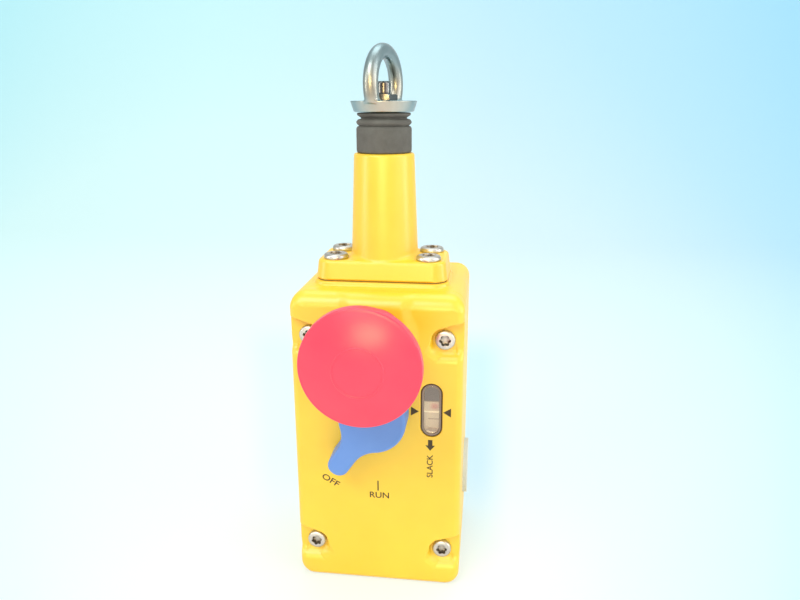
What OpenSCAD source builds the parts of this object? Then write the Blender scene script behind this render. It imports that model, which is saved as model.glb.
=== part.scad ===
// Rope pull switch: a die-cast housing with a draw rod that a rope holds under tension,
// a latching stop button, a reset knob and two snap-switch contact blocks.
// Frame: Z up along the rope, -Y towards the operator, X to the operator's right.
// The origin is on the rope axis, at the mouth of the bottom cable entry.

/* [Housing] */
// Width of the housing across the front
body_w = 73; // [68:1:84]
// Height of the housing without its raised pad
body_h = 136; // [132:1:150]
// Depth of the base casting behind the cover
base_d = 55.5; // [52:0.5:70]
// Distance from the rope axis to the joint between base and cover
rope_to_joint = 18.5; // [18:0.5:22]
// Thickness of the casting's walls
wall = 3.5; // [3:0.25:4.5]
// Radius of the housing's four upright corners
corner_r = 6.5; // [5:0.5:9]
// Radius of the rear edges
rear_edge_r = 3; // [1.5:0.5:4]
// Height of the raised pad under the tower
pad_h = 1.9; // [1:0.1:4]

/* [Cover] */
// Depth of the cover in front of the joint
cover_d = 10.5; // [9.5:0.5:14]
// Thickness of the cover's face
cover_wall = 3.2; // [2.6:0.2:4]
// Radius of the cover's side and bottom edges
cover_edge_r = 3; // [1.5:0.5:4]
// Radius of the cover's top edge
cover_top_r = 6.5; // [4:0.5:8]
// Distance of the cover screws from the sides
screw_from_side = 7.8; // [7.5:0.1:9]
// Height of the lower cover screws
screw_low = 17.9; // [16:0.1:24]
// Distance of the upper cover screws from the top
screw_from_top = 18.8; // [16:0.1:24]
// Radius of the pocket round each cover screw
pocket_r = 5.4; // [5.2:0.1:6.5]
// Angle at which the pocket's upper wall rises to the side
pocket_angle = 17; // [5:1:22]
// Height of the slope that runs out below each pocket
pocket_slope = 5; // [2:0.5:7]
// Width of the sealing groove in the cover's rim
groove_w = 1.6; // [1.2:0.1:1.8]
// Depth of the sealing groove
groove_d = 1.2; // [0.8:0.1:1.6]

/* [Tower] */
// Width of the tower's flange
flange_w = 57; // [55:0.5:60]
// Depth of the tower's flange
flange_d = 32.4; // [31:0.2:34]
// Thickness of the tower's flange
flange_h = 8.4; // [6:0.1:9]
// Spacing of the tower screws from left to right
tower_screw_x = 40; // [39:0.5:42]
// Spacing of the tower screws from front to back
tower_screw_y = 17.8; // [17:0.2:19]
// Diameter of the round column at its foot
column_foot = 29.1; // [28:0.1:30]
// Diameter of the column at its top
column_top = 25.6; // [25:0.1:27]
// Height of the column above its flange
column_h = 44; // [40:0.5:50]
// Bore of the tower, in which the tension spring works
tower_bore = 17.2; // [16.8:0.2:18]
// Thickness of the tower's gasket
gasket_t = 0.5; // [0.3:0.1:1]

/* [Rope eye and draw rod] */
// Centreline radius of the ring
eye_r = 13.1; // [11:0.1:14]
// Thickness of the ring's bar
eye_bar = 6.1; // [5:0.1:6.5]
// Height of the ring's centre above the disc
eye_rise = 6.5; // [5.5:0.1:8]
// Angle of the ring about the rope axis
eye_turn = 75; // [60:1:90]
// Diameter of the disc under the ring
disc_dia = 28; // [26:0.5:30]
// Thickness of the disc
disc_h = 4.5; // [3.5:0.5:6]
// Diameter of the draw rod
rod_dia = 8; // [7:0.5:8.5]
// Diameter of the rod's threaded end, over the thread
rod_end_dia = 5.8; // [5:0.2:6]
// How far the rod's end stands above the disc
rod_end_h = 7.8; // [6:0.2:8.5]
// Travel of the draw rod
pull_travel = 12; // [8:1:12]
// Height of the rubber boot from the tower to the disc
boot_h = 16.6; // [15:0.2:20]

/* [Tension spring] */
// Wire of the tension spring
spring_wire = 1.8; // [1.2:0.1:2]
// Mean diameter of the tension spring
spring_dia = 12.8; // [12:0.2:13]
// Working turns of the tension spring
spring_turns = 7; // [5:1:8]
// Length of the tension spring with the rod drawn in
spring_len = 36; // [34:1:37]

/* [Stop button] */
// Distance of the stop button's axis from the top
estop_from_top = 17.5; // [15:0.5:19]
// Diameter of the mushroom cap
cap_dia = 46.5; // [40:0.5:52]
// Height of the cap's rim above the cover
cap_reach = 37.5; // [32:0.5:40]
// Height of the cap's dome
cap_dome = 4.5; // [3:0.5:6]
// Thickness of the cap's rim
cap_rim = 4.6; // [3.5:0.1:6]
// Travel of the stop button
press_travel = 4; // [3:0.5:4]
// Diameter of the bezel behind the cap
bezel_dia = 24.8; // [24.4:0.2:26]
// Mounting hole of the stop button
estop_hole = 22.3; // [22.2:0.1:23]
// Diameter of the button's stem
stem_dia = 8; // [7:0.5:9]

/* [Reset knob] */
// Distance of the reset knob's axis below the stop button's
knob_below_button = 33.1; // [31.5:0.2:34.5]
// Diameter of the knob's round body
knob_dia = 28; // [24:0.5:30]
// Distance from the knob's axis to the centre of the lever's tip
lever_reach = 25.6; // [22:0.1:28]
// Width of the lever
lever_w = 9.2; // [8:0.2:12]
// Radius of the hollows beside the lever
lever_flare = 12; // [8:1:14]
// Height of the knob above the cover
knob_h = 13; // [9:0.5:14]
// Angle between OFF and RUN
reset_angle = 34.5; // [30:0.5:40]
// Diameter of the knob's shaft
shaft_dia = 8; // [7:0.5:9]

/* [Window] */
// Distance of the window from the rope axis
window_x = 23.5; // [22:0.5:24.5]
// Distance of the window's centre from the top
window_from_top = 49.8; // [48:0.2:52]
// Width of the window's slot
window_w = 9.2; // [8:0.2:10]
// Height of the window's slot
window_h = 24.4; // [22:0.2:26]
// Thickness of the seal round the lens
window_seal_t = 1.3; // [1:0.1:1.5]

/* [Mounting] */
// Spacing of the rear mounting holes across the housing
mount_x = 40; // [38:1:42]
// Distance of the upper mounting holes from the top
mount_from_top = 18; // [17:0.5:19]
// Height of the lower mounting holes
mount_low = 18; // [17:0.5:19]
// Diameter of the tapped mounting holes
mount_dia = 5; // [4:0.5:6]
// Depth of the tapped mounting holes
mount_depth = 10; // [8:0.5:11]
// Diameter of the cable entries
entry_dia = 18.5; // [16:0.5:20]
// Length of the bottom entry's thread
entry_len = 8; // [6:0.5:10]
// Height of the side entries
side_entry_z = 39; // [36:1:44]
// Distance of the side entries behind the rope axis
side_entry_y = 12; // [10:0.5:14]
// Diameter of the blanking plugs' heads
plug_dia = 26; // [24:0.5:27]

/* [Hidden] */
$fn = 48;

// Clearances
fit = 0.05;      // running fits, on the radius
loose = 0.15;    // screws and nuts in their holes, on the radius
gap = 0.3;       // between pieces that must not touch
eps = 0.01;

// Planes from front to back
joint_y = -rope_to_joint;
face_y = joint_y - cover_d;
cover_in_y = face_y + cover_wall;
rear_y = joint_y + base_d;
rear_wall = wall + 0.5;
rear_in_y = rear_y - rear_wall;
half_w = body_w / 2;
estop_z = body_h - estop_from_top;
knob_z = estop_z - knob_below_button;
window_z = body_h - window_from_top;
mount_z = body_h - mount_from_top - mount_low;

// Heights of the tower and of what rides in it
pad_top = body_h + pad_h;
flange_z = pad_top + gasket_t;
flange_top = flange_z + flange_h;
column_z = flange_top + column_h;
disc_z = column_z + boot_h;
disc_top = disc_z + disc_h;
ring_z = disc_top + eye_rise;
rod_end_z = disc_top + rod_end_h;
neck_h = 7.5;
neck_r = 8.5;
bush_len = 14;
bush_r = 6;
bush_z = column_z + neck_h - bush_len;
shoulder_z = bush_z - 2;
seat_t = 2.5;
seat_z = shoulder_z - spring_len - seat_t;

// Screws: cover M4, tower M5, chassis M4
cover_screw_r = 2;
tower_screw_r = 2.5;
// Radius and height of the screws' pan heads
cover_head_r = 4.2;
cover_head_h = 2.2;
tower_head_r = 5.3;
tower_head_h = 2.1;
screw_top = body_h - screw_from_top;
screw_x = half_w - screw_from_side;
cover_screw_len = 18;
cover_tap_depth = 16;
tower_screw_len = 16;
pocket_d = cover_wall;
corner_pad_w = 14.5;
corner_pad_h = 24;
corner_pad_t = 3.5;
boss_r = 5;
cover_boss_len = 23.5;
tower_boss_len = 12;

// Blanking plugs
plug_head_t = 2;
entry_ring = 4;

// Stop button, from the cover's boss inwards
estop_pad_h = 1.2;
estop_pad_r = 16;
pad_y = face_y - estop_pad_h;
bezel_h = 10;
bezel_front_y = pad_y - bezel_h;
bezel_tail_y = cover_in_y + 4.6;
nut_t = 4;
nut_half = 13.4;
rim_y = face_y - cap_reach;
cap_hub_r = 13;
hub_y = bezel_front_y - press_travel - 1;
stem_tip_y = -14.9;
spring_floor_y = bezel_front_y + 7;
estop_wire = 1.2;
spring_room_r = 8.6;

// Reset knob, shaft and latch
knob_y = face_y - gap;
knob_front_y = face_y - knob_h;
crank_y = -20;
crank_t = 2.8;
crank_r = 7;
crank_pin_r = 1.2;
bridge_y = -14.6;
bridge_t = 1.6;
slide_t = 1.8;
slide_y = bridge_y - 0.2 - slide_t;
slide_low = knob_z + shaft_dia / 2 + 0.8;
slide_h = 6.4;
slide_travel = crank_r * sin(reset_angle);

// Trip lever
trip_arm = 15.5;
plunger_arm = 7;
pivot_y = -10.5;
pivot_z = estop_z - trip_arm;
pivot_pin_r = 1.5;
hub_r = 3.2;
blade_y = -14.5;
blade_t = 2;
blade_half = 10;
wing_x = -half_w + wall + 17;
wing_half = 4;
plunger_r = 1.5;
stop_plunger_z = pivot_z + plunger_arm;

// Chassis and contact blocks
chassis_y = rear_in_y - 5;
chassis_t = 2;
chassis_half = half_w - wall - 5;
chassis_low = 29;
chassis_high = pivot_z + 8;
chassis_screw_at = [[-4, 38], [22, 38], [8, pivot_z + 2]];
ear_x = chassis_half - 1;
ear_t = 1.6;
block_x = -half_w + wall + 7;
block_w = 15;
block_front_y = -5;
block_h = 30;
block_step_d = 5;
block_step_h = 11.4;
terminal_r = 1.45;
terminal_gap = 3.7;
terminal_low = 5;
terminal_rise = 8.6;
stop_block_z = pivot_z - 21;
rope_block_z = stop_block_z - block_h - 4;
earth_at = [18, 56];

// Carriage
rope_plunger_z = rope_block_z + 28;
carriage_z = rope_plunger_z - 6;
carriage_h = 26;
carriage_half = 9;
carriage_back = 6.6;
rib_y = 8.2;
rib_t = 8;
rope_plunger_y = 12;
rope_plunger_travel = 3;
ramp_top_x = -5;
bar_y = cover_in_y + 3.3;
bar_t = 1.2;
bar_w = 7;
bar_top = window_z + 1.9;
bar_low = bar_top - 16;
arm_y = bar_y + bar_t;
arm_t = 2.5;
arm_z = carriage_z + 6;
arm_h = 8;

// ---------- Shared shapes ----------

// Solid cylinders along each axis
module cyl_x(r, x0, x1, y, z) {
    translate([x0, y, z]) rotate([0, 90, 0]) cylinder(r = r, h = x1 - x0);
}
module cyl_y(r, y0, y1, x, z) {
    translate([x, y1, z]) rotate([90, 0, 0]) cylinder(r = r, h = y1 - y0);
}
module cyl_z(r, z0, z1, x = 0, y = 0) {
    translate([x, y, z0]) cylinder(r = r, h = z1 - z0);
}

// A box from its lowest and highest corners
module block(low, high) {
    translate(low) cube(high - low);
}

// A flat outline in X and Z, given depth from y0 to y1
module slab_y(y0, y1) {
    translate([0, y1, 0]) rotate([90, 0, 0]) linear_extrude(y1 - y0) children();
}

// A rounded rectangle about the origin
module round_rect(w, h, r) {
    square([w - 2 * r, h], center = true);
    square([w, h - 2 * r], center = true);
    for (sx = [-1, 1]) {
        for (sz = [-1, 1]) {
            translate([sx * (w / 2 - r), sz * (h / 2 - r)]) circle(r);
        }
    }
}

// A slot with round ends, standing up
module slot_shape(w, h) {
    square([w, h - w], center = true);
    for (s = [-1, 1]) {
        translate([0, s * (h - w) / 2]) circle(w / 2);
    }
}

// How far a rounded edge of radius r stands in at depth d below the face
function edge_inset(r, d) = d >= r ? 0 : r - sqrt(r * r - (r - d) * (r - d));

// Housing outline at one depth, with its own insets at the sides, top and bottom
module housing_slice(y, side, top, bottom) {
    h = body_h - top - bottom;
    translate([0, y, bottom + h / 2]) rotate([90, 0, 0])
        linear_extrude(eps, center = true) round_rect(body_w - 2 * side, h, corner_r - side);
}

// Both sides of the housing
module both_sides() {
    for (s = [0, 1]) {
        mirror([s, 0, 0]) children();
    }
}

// Four places at the corners of a rectangle in X and Z
module at_cover_screws() {
    for (sx = [-1, 1]) {
        for (z = [screw_low, screw_top]) {
            translate([sx * screw_x, 0, z]) children();
        }
    }
}
module at_tower_screws() {
    for (sx = [-1, 1]) {
        for (sy = [-1, 1]) {
            translate([sx * tower_screw_x / 2, sy * tower_screw_y / 2, 0]) children();
        }
    }
}

// A pan-head screw with its head on z = 0 and its shank below, and a six-sided recess
module pan_screw(r, len, head_r, head_h) {
    difference() {
        union() {
            rotate_extrude() polygon([[0, 0], [head_r, 0], [head_r, head_h * 0.55],
                [head_r * 0.93, head_h * 0.85], [head_r * 0.8, head_h], [0, head_h]]);
            translate([0, 0, -len]) cylinder(r = r, h = len);
        }
        translate([0, 0, head_h * 0.45]) cylinder(r = r * 0.75, h = head_h, $fn = 6);
    }
}

// A ring of round or flat section about the Z axis
module flat_ring(r_in, r_out, h) {
    difference() {
        cylinder(r = r_out, h = h);
        translate([0, 0, -1]) cylinder(r = r_in, h = h + 2);
    }
}

// A compression spring along Z: closed turns at both ends, an even pitch between
function spring_height(turn, turns, wire, len) =
    let (pitch = (len - 3 * wire) / turns)
    turn < 1 ? wire / 2 + turn * wire
    : turn > turns + 1 ? len - wire / 2 - (turns + 2 - turn) * wire
    : wire * 1.5 + (turn - 1) * pitch;
module spring(wire, dia, turns, len, steps = 16, sides = 6) {
    rings = steps * (turns + 2);
    points = [for (i = [0:rings], k = [0:sides - 1])
        let (turn = i / steps, a = 360 * turn, b = 360 * k / sides,
            rad = dia / 2 + wire / 2 * cos(b))
        [rad * cos(a), rad * sin(a),
            spring_height(turn, turns, wire, len) + wire / 2 * sin(b)]];
    walls = [for (i = [0:rings - 1], k = [0:sides - 1])
        [i * sides + k, i * sides + (k + 1) % sides,
            (i + 1) * sides + (k + 1) % sides, (i + 1) * sides + k]];
    ends = [[for (k = [sides - 1:-1:0]) k], [for (k = [0:sides - 1]) rings * sides + k]];
    polyhedron(points, concat(walls, ends), convexity = 10);
}

// ---------- Housing ----------

// The base casting's outer form, with its rear edges rounded
module base_form() {
    slab_y(joint_y, rear_y - rear_edge_r) translate([0, body_h / 2])
        round_rect(body_w, body_h, corner_r);
    hull() {
        for (i = [0:4]) {
            inset = rear_edge_r * (1 - cos(90 * i / 4));
            depth = rear_edge_r * (1 - sin(90 * i / 4));
            housing_slice(rear_y - depth - eps / 2, inset, inset, inset);
        }
    }
}

// Plan of the raised pad that carries the tower
module pad_plan() {
    round_rect(flange_w + 1.6, flange_d + 1.2, 7);
}

module base_housing() {
    color("gold") difference() {
        union() {
            difference() {
                union() {
                    base_form();
                    translate([0, 0, body_h - eps]) linear_extrude(pad_h + eps) pad_plan();
                }
                slab_y(joint_y - 1, rear_in_y) translate([0, body_h / 2])
                    round_rect(body_w - 2 * wall, body_h - 2 * wall, corner_r - wall);
            }
            at_cover_screws() cyl_y(boss_r, joint_y, joint_y + cover_boss_len, 0, 0);
            at_tower_screws() cyl_z(boss_r, pad_top - tower_boss_len, body_h);
            cyl_z(entry_dia / 2 + 3.75, wall - eps, entry_len);
            both_sides() cyl_x(entry_dia / 2 + 3.5, half_w - wall - entry_ring,
                half_w - wall + eps, side_entry_y, side_entry_z);
            for (sx = [-1, 1]) {
                for (z = [mount_low, mount_low + mount_z]) {
                    cyl_y(mount_dia / 2 + 3, rear_y - mount_depth - 2, rear_in_y + eps,
                        sx * mount_x / 2, z);
                }
            }
            for (p = chassis_screw_at) {
                cyl_y(4.5, chassis_y + chassis_t, rear_in_y + eps, p[0], p[1]);
            }
        }
        // Tapped holes for the cover, the tower and the chassis
        at_cover_screws() cyl_y(cover_screw_r + fit, joint_y - 1, joint_y + cover_tap_depth, 0, 0);
        at_tower_screws() cyl_z(tower_screw_r + fit, pad_top - tower_boss_len + 2, pad_top + 1);
        for (p = chassis_screw_at) {
            cyl_y(cover_screw_r + fit, chassis_y, rear_y - 1.5, p[0], p[1]);
        }
        // Way through for the draw rod and its spring seat
        cyl_z(tower_bore / 2, body_h - wall - 1, pad_top + 1);
        // Cable entries and the rear mounting holes
        cyl_z(entry_dia / 2, -1, entry_len + 1);
        both_sides() cyl_x(entry_dia / 2, half_w - wall - entry_ring - 1, half_w + 1,
            side_entry_y, side_entry_z);
        for (sx = [-1, 1]) {
            for (z = [mount_low, mount_low + mount_z]) {
                cyl_y(mount_dia / 2, rear_y - mount_depth, rear_y + 1, sx * mount_x / 2, z);
            }
        }
    }
}

// The cover's outer form: soft side edges and a larger radius along the top
module cover_form() {
    hull() {
        for (i = [0:7]) {
            depth = cover_top_r * (1 - cos(90 * i / 7));
            side = edge_inset(cover_edge_r, depth);
            housing_slice(face_y + depth + eps / 2, side, edge_inset(cover_top_r, depth), side);
        }
        housing_slice(joint_y - eps / 2, 0, 0, 0);
    }
}

// Raised pad round the stop button, flaring where it runs into the top edge
module estop_pad_plan() {
    translate([0, estop_z]) {
        circle(estop_pad_r);
        polygon([[-11, 8], [11, 8], [15, body_h - estop_z], [-15, body_h - estop_z]]);
    }
}

// Pocket round one right-hand cover screw: open to the side, and running out below in a slope
module pocket() {
    reach = screw_from_side + 2;
    slope = pocket_slope / 2;
    slab_y(face_y - 1, face_y + pocket_d) {
        circle(pocket_r);
        rotate(pocket_angle) square([reach + 2, pocket_r - 0.05]);
    }
    translate([0, face_y + pocket_d, -slope]) rotate([90, 0, 0])
        cylinder(r1 = pocket_r - slope, r2 = pocket_r + slope - 0.1, h = pocket_d + eps);
    rotate([90, 0, 90]) linear_extrude(reach) polygon([
        [face_y + pocket_d, pocket_r * 0.75], [face_y - 1, pocket_r * 0.75],
        [face_y - 1, -pocket_r - pocket_slope * (1 + 1 / pocket_d) + 0.1],
        [face_y + pocket_d, -pocket_r + 0.1]]);
}

module cover() {
    color("gold") difference() {
        union() {
            difference() {
                union() {
                    cover_form();
                    intersection() {
                        slab_y(pad_y - 1, face_y + cover_top_r + 1) estop_pad_plan();
                        translate([0, -estop_pad_h, -0.02]) cover_form();
                    }
                }
                slab_y(cover_in_y, joint_y + 1) translate([0, body_h / 2])
                    round_rect(body_w - 2 * wall, body_h - 2 * wall, corner_r - wall);
            }
            // Thick corners behind the pockets, and the bosses that meet the base
            for (sx = [-1, 1]) {
                for (z = [screw_low, screw_top]) {
                    translate([sx * (half_w - wall - corner_pad_w / 2 + 0.25),
                        cover_in_y + corner_pad_t / 2, z - 2])
                        cube([corner_pad_w, corner_pad_t + eps, corner_pad_h], center = true);
                }
            }
            at_cover_screws() cyl_y(boss_r, cover_in_y, joint_y, 0, 0);
            cyl_y(shaft_dia / 2 + 3.5, cover_in_y - eps, cover_in_y + 1.8, 0, knob_z);
        }
        both_sides() for (z = [screw_low, screw_top]) {
            translate([screw_x, 0, z]) pocket();
        }
        at_cover_screws() cyl_y(cover_screw_r + loose, face_y - 1, joint_y + 1, 0, 0);
        slab_y(joint_y - groove_d, joint_y + 1) groove_plan(groove_w);
        cyl_y(estop_hole / 2, pad_y - 1, cover_in_y + 1, 0, estop_z);
        cyl_y(shaft_dia / 2 + fit, face_y - 1, cover_in_y + 3, 0, knob_z);
        cyl_y(shaft_dia / 2 + 2, face_y - 1, face_y + 1.8, 0, knob_z);
        slab_y(face_y - 1, cover_in_y + 1) translate([window_x, window_z])
            slot_shape(window_w, window_h);
    }
}

// Plan of the sealing groove, along the middle of the rim
module groove_plan(w) {
    translate([0, body_h / 2]) difference() {
        round_rect(body_w - wall + w, body_h - wall + w, corner_r - wall / 2 + w / 2);
        round_rect(body_w - wall - w, body_h - wall - w, corner_r - wall / 2 - w / 2);
    }
}

module cover_gasket() {
    color("dimgray") slab_y(joint_y - groove_d + fit, joint_y) groove_plan(groove_w - 2 * fit);
}

module cover_screws() {
    color("silver") at_cover_screws() translate([0, face_y + pocket_d, 0])
        rotate([90, 0, 0]) pan_screw(cover_screw_r, cover_screw_len, cover_head_r, cover_head_h);
}

module side_plugs() {
    color("gray") both_sides() difference() {
        union() {
            cyl_x(plug_dia / 2, half_w, half_w + plug_head_t, side_entry_y, side_entry_z);
            cyl_x(entry_dia / 2 - fit, half_w - wall - entry_ring, half_w + eps,
                side_entry_y, side_entry_z);
        }
        cyl_x(entry_dia / 2 - 2, half_w - wall - entry_ring - 1, half_w - 1,
            side_entry_y, side_entry_z);
        block([half_w + plug_head_t - 0.9, side_entry_y - 8, side_entry_z - 0.8],
            [half_w + plug_head_t + 1, side_entry_y + 8, side_entry_z + 0.8]);
    }
}

// ---------- Tower ----------

// One thin slice of the tower, w wide and d deep
module tower_slice(z, w, d, r) {
    translate([0, 0, z]) linear_extrude(eps, center = true) round_rect(w, d, r);
}

// Radius of the soft foot between the flange and the column
foot_r = 2.4;

module tower() {
    color("gold") difference() {
        union() {
            hull() {
                tower_slice(flange_z + eps / 2, flange_w, flange_d, 7);
                tower_slice(flange_top - 1.5, flange_w - 1.8, flange_d - 1.8, 6.6);
                tower_slice(flange_top - 0.5, flange_w - 2.8, flange_d - 2.8, 6.2);
                tower_slice(flange_top - eps / 2, flange_w - 4.2, flange_d - 4.2, 5.6);
            }
            rotate_extrude($fn = 96) polygon([[0, flange_top - 1], [column_foot / 2, flange_top - 1],
                [column_foot / 2, flange_top], [column_top / 2, column_z - 1.2],
                [column_top / 2 - 0.4, column_z - 0.3], [column_top / 2 - 1, column_z],
                [0, column_z]]);
            // The soft foot, which flares as far as the narrow flange lets it
            intersection() {
                rotate_extrude($fn = 96) polygon(concat([[0, flange_top - 1]],
                    [for (j = [0:4]) [column_foot / 2 - 0.2 + foot_r * (1 - sin(90 * j / 4)),
                        flange_top + foot_r * (1 - cos(90 * j / 4))]],
                    [[0, flange_top + foot_r]]));
                translate([0, 0, flange_top - 2]) linear_extrude(foot_r + 3)
                    round_rect(flange_w - 1.8, flange_d - 2.4, 6.6);
            }
            cyl_z(neck_r, column_z - eps, column_z + neck_h);
            rotate_extrude() polygon([[neck_r - 1, column_z + neck_h - 2.6],
                [neck_r + 0.6, column_z + neck_h - 2.6], [neck_r + 0.6, column_z + neck_h - 1.8],
                [neck_r - 0.6, column_z + neck_h], [neck_r - 1, column_z + neck_h]]);
        }
        cyl_z(tower_bore / 2, flange_z - 1, shoulder_z);
        cyl_z(rod_dia / 2 + 0.5, shoulder_z - 1, bush_z + 1);
        cyl_z(bush_r, bush_z, column_z + neck_h + 1);
        at_tower_screws() cyl_z(tower_screw_r + loose, flange_z - 1, flange_top + 1);
        at_tower_screws() cyl_z(tower_head_r + 0.4, flange_top - eps, flange_top + 5);
    }
}

module tower_gasket() {
    color("dimgray") difference() {
        translate([0, 0, pad_top]) linear_extrude(gasket_t)
            round_rect(flange_w - 1.2, flange_d - 1.2, 6.4);
        cyl_z(tower_bore / 2 + 0.5, pad_top - 1, flange_z + 1);
        at_tower_screws() cyl_z(tower_screw_r + loose, pad_top - 1, flange_z + 1);
    }
}

module tower_screws() {
    color("silver") at_tower_screws() translate([0, 0, flange_top])
        pan_screw(tower_screw_r, tower_screw_len, tower_head_r, tower_head_h);
}

module rod_bush() {
    color("tan") translate([0, 0, bush_z]) flat_ring(rod_dia / 2 + fit, bush_r - 0.02, bush_len);
}

// ---------- Rope eye, rod and spring ----------

// The rubber boot: a collar over the tower's neck, then two folds up to the disc
boot_r = 11.65;
module boot() {
    top = disc_z - gap;
    fold = top - column_z - 10.9;
    color("dimgray") translate([0, 0, column_z]) rotate_extrude() polygon([
        [neck_r + 0.7, 0], [boot_r - 1, 0], [boot_r, 1], [boot_r, 9.4], [boot_r - 1.2, 10.6],
        [boot_r - 1.3, 10.9], [boot_r - 0.6, 11.2], [boot_r + 0.15, 10.9 + fold * 0.28],
        [boot_r - 0.6, 10.9 + fold * 0.46], [boot_r - 2.4, 10.9 + fold * 0.54],
        [boot_r - 0.5, 10.9 + fold * 0.84], [boot_r - 0.7, 10.9 + fold],
        [6, 10.9 + fold], [6, 10.9 + fold * 0.86], [boot_r - 3.8, 10.9 + fold * 0.54],
        [boot_r - 1.8, 10.9 + fold * 0.28], [boot_r - 2.9, 10.7], [neck_r + 0.7, 8.6]]);
}

module eye_nut() {
    color("lightsteelblue") difference() {
        union() {
            translate([0, 0, disc_z]) rotate_extrude() polygon([[0, 0], [disc_dia / 2 - 1.6, 0],
                [disc_dia / 2 - 1.1, 0.4], [disc_dia / 2, disc_h - 0.3],
                [disc_dia / 2 - 0.3, disc_h], [0, disc_h]]);
            difference() {
                translate([0, 0, ring_z]) rotate([90, 0, eye_turn]) rotate_extrude($fn = 64)
                    translate([eye_r, 0]) circle(eye_bar / 2);
                block([-20, -20, disc_top - 25], [20, 20, disc_top - 0.5]);
            }
        }
        cyl_z(rod_end_dia / 2 + fit, disc_z - 1, disc_top + 2);
    }
}

lock_nut_h = 2.5;
module rod_lock_nut() {
    color("silver") translate([0, 0, disc_top]) difference() {
        cylinder(r = 10 / sqrt(3), h = lock_nut_h, $fn = 6);
        translate([0, 0, -1]) cylinder(r = rod_end_dia / 2 + fit, h = lock_nut_h + 2);
    }
}

carriage_nut_h = 5;
clip_t = 1;
module draw_rod() {
    color("silver") difference() {
        union() {
            cyl_z(rod_dia / 2, carriage_z - carriage_nut_h - 2, disc_z);
            cyl_z(rod_end_dia / 2, disc_z - eps, rod_end_z - 0.7);
            translate([0, 0, rod_end_z - 0.7 - eps])
                cylinder(r1 = rod_end_dia / 2, r2 = rod_end_dia / 2 - 0.7, h = 0.7 + eps);
        }
        translate([0, 0, seat_z - clip_t - fit])
            flat_ring(rod_dia / 2 - 0.6, rod_dia / 2 + 1, clip_t + 2 * fit);
    }
}

module spring_seat() {
    color("silver") translate([0, 0, seat_z])
        flat_ring(rod_dia / 2 + fit, tower_bore / 2 - 0.4, seat_t);
}

// A circlip: a flat ring with an open side
module clip(r_in, r_out, t) {
    difference() {
        flat_ring(r_in, r_out, t);
        translate([0, -1.2, -1]) cube([r_out + 1, 2.4, t + 2]);
    }
}

module seat_clip() {
    color("dimgray") translate([0, 0, seat_z - clip_t])
        clip(rod_dia / 2 - 0.55, rod_dia / 2 + 1.6, clip_t - fit);
}

module tension_spring() {
    color("silver") translate([0, 0, seat_z + seat_t])
        spring(spring_wire, spring_dia, spring_turns, spring_len);
}

// ---------- Carriage and indicator ----------

// The block on the rod's lower end, its cam rib behind and its arm to the indicator
module carriage() {
    color("white") difference() {
        union() {
            block([-carriage_half, -carriage_back, carriage_z],
                [carriage_half, rib_y, carriage_z + carriage_h]);
            translate([0, rib_y + rib_t, 0]) rotate([90, 0, 0]) linear_extrude(rib_t + eps)
                polygon([[carriage_half - 2, carriage_z + carriage_h],
                    [ramp_top_x, carriage_z + carriage_h], [ramp_top_x, rope_plunger_z],
                    [ramp_top_x - rope_plunger_travel, rope_plunger_z - pull_travel],
                    [ramp_top_x - rope_plunger_travel, rope_plunger_z - pull_travel - 4],
                    [carriage_half - 2, rope_plunger_z - pull_travel - 4]]);
            block([carriage_half - eps, -carriage_back, arm_z],
                [carriage_half + 5, 0, arm_z + arm_h]);
            block([carriage_half + 2.5, arm_y, arm_z],
                [carriage_half + 5, -carriage_back + eps, arm_z + arm_h]);
            block([carriage_half + 2.5, arm_y, arm_z],
                [window_x + bar_w / 2, arm_y + arm_t, arm_z + arm_h]);
        }
        cyl_z(rod_dia / 2 + fit, carriage_z - 1, carriage_z + carriage_h + 1);
        // Lightening pocket in the front
        block([-carriage_half + 2.5, -carriage_back - 1, carriage_z + 4],
            [carriage_half - 2.5, -carriage_back + 1.2, carriage_z + carriage_h - 4]);
    }
}

module carriage_nut() {
    color("silver") translate([0, 0, carriage_z - carriage_nut_h]) difference() {
        cylinder(r = 13 / sqrt(3), h = carriage_nut_h, $fn = 6);
        translate([0, 0, -1]) cylinder(r = rod_dia / 2 + fit, h = carriage_nut_h + 2);
    }
}

module indicator_bar() {
    color("mistyrose") block([window_x - bar_w / 2, bar_y, bar_low],
        [window_x + bar_w / 2, arm_y, bar_top]);
}

// ---------- Window ----------

lens_w = window_w - 2 * window_seal_t;
lens_h = window_h - 2 * window_seal_t;
seal_lip = 1.5;

module window_seal() {
    color("dimgray") translate([window_x, 0, window_z]) difference() {
        union() {
            slab_y(face_y + 0.3, cover_in_y + eps)
                slot_shape(window_w - 2 * fit, window_h - 2 * fit);
            slab_y(cover_in_y, cover_in_y + 0.8)
                slot_shape(window_w + 2 * seal_lip, window_h + 2 * seal_lip);
        }
        slab_y(face_y - 1, cover_in_y + 2) slot_shape(lens_w, lens_h);
    }
}

module window_lens() {
    color("aliceblue") translate([window_x, 0, window_z]) {
        slab_y(face_y + 0.5, cover_in_y + 0.8 + eps)
            slot_shape(lens_w - 2 * fit, lens_h - 2 * fit);
        slab_y(cover_in_y + 0.8, cover_in_y + 2)
            slot_shape(window_w + 2 * seal_lip, window_h + 2 * seal_lip);
    }
}

// ---------- Stop button ----------

// Points of the cap's dome, from the rim inwards to the axis
function dome_points(r, h, steps) =
    let (ball = (r * r + h * h) / (2 * h), sweep = asin(r / ball))
    [for (i = [0:steps]) let (a = sweep * (1 - i / steps)) [ball * sin(a), h - ball * (1 - cos(a))]];

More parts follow.
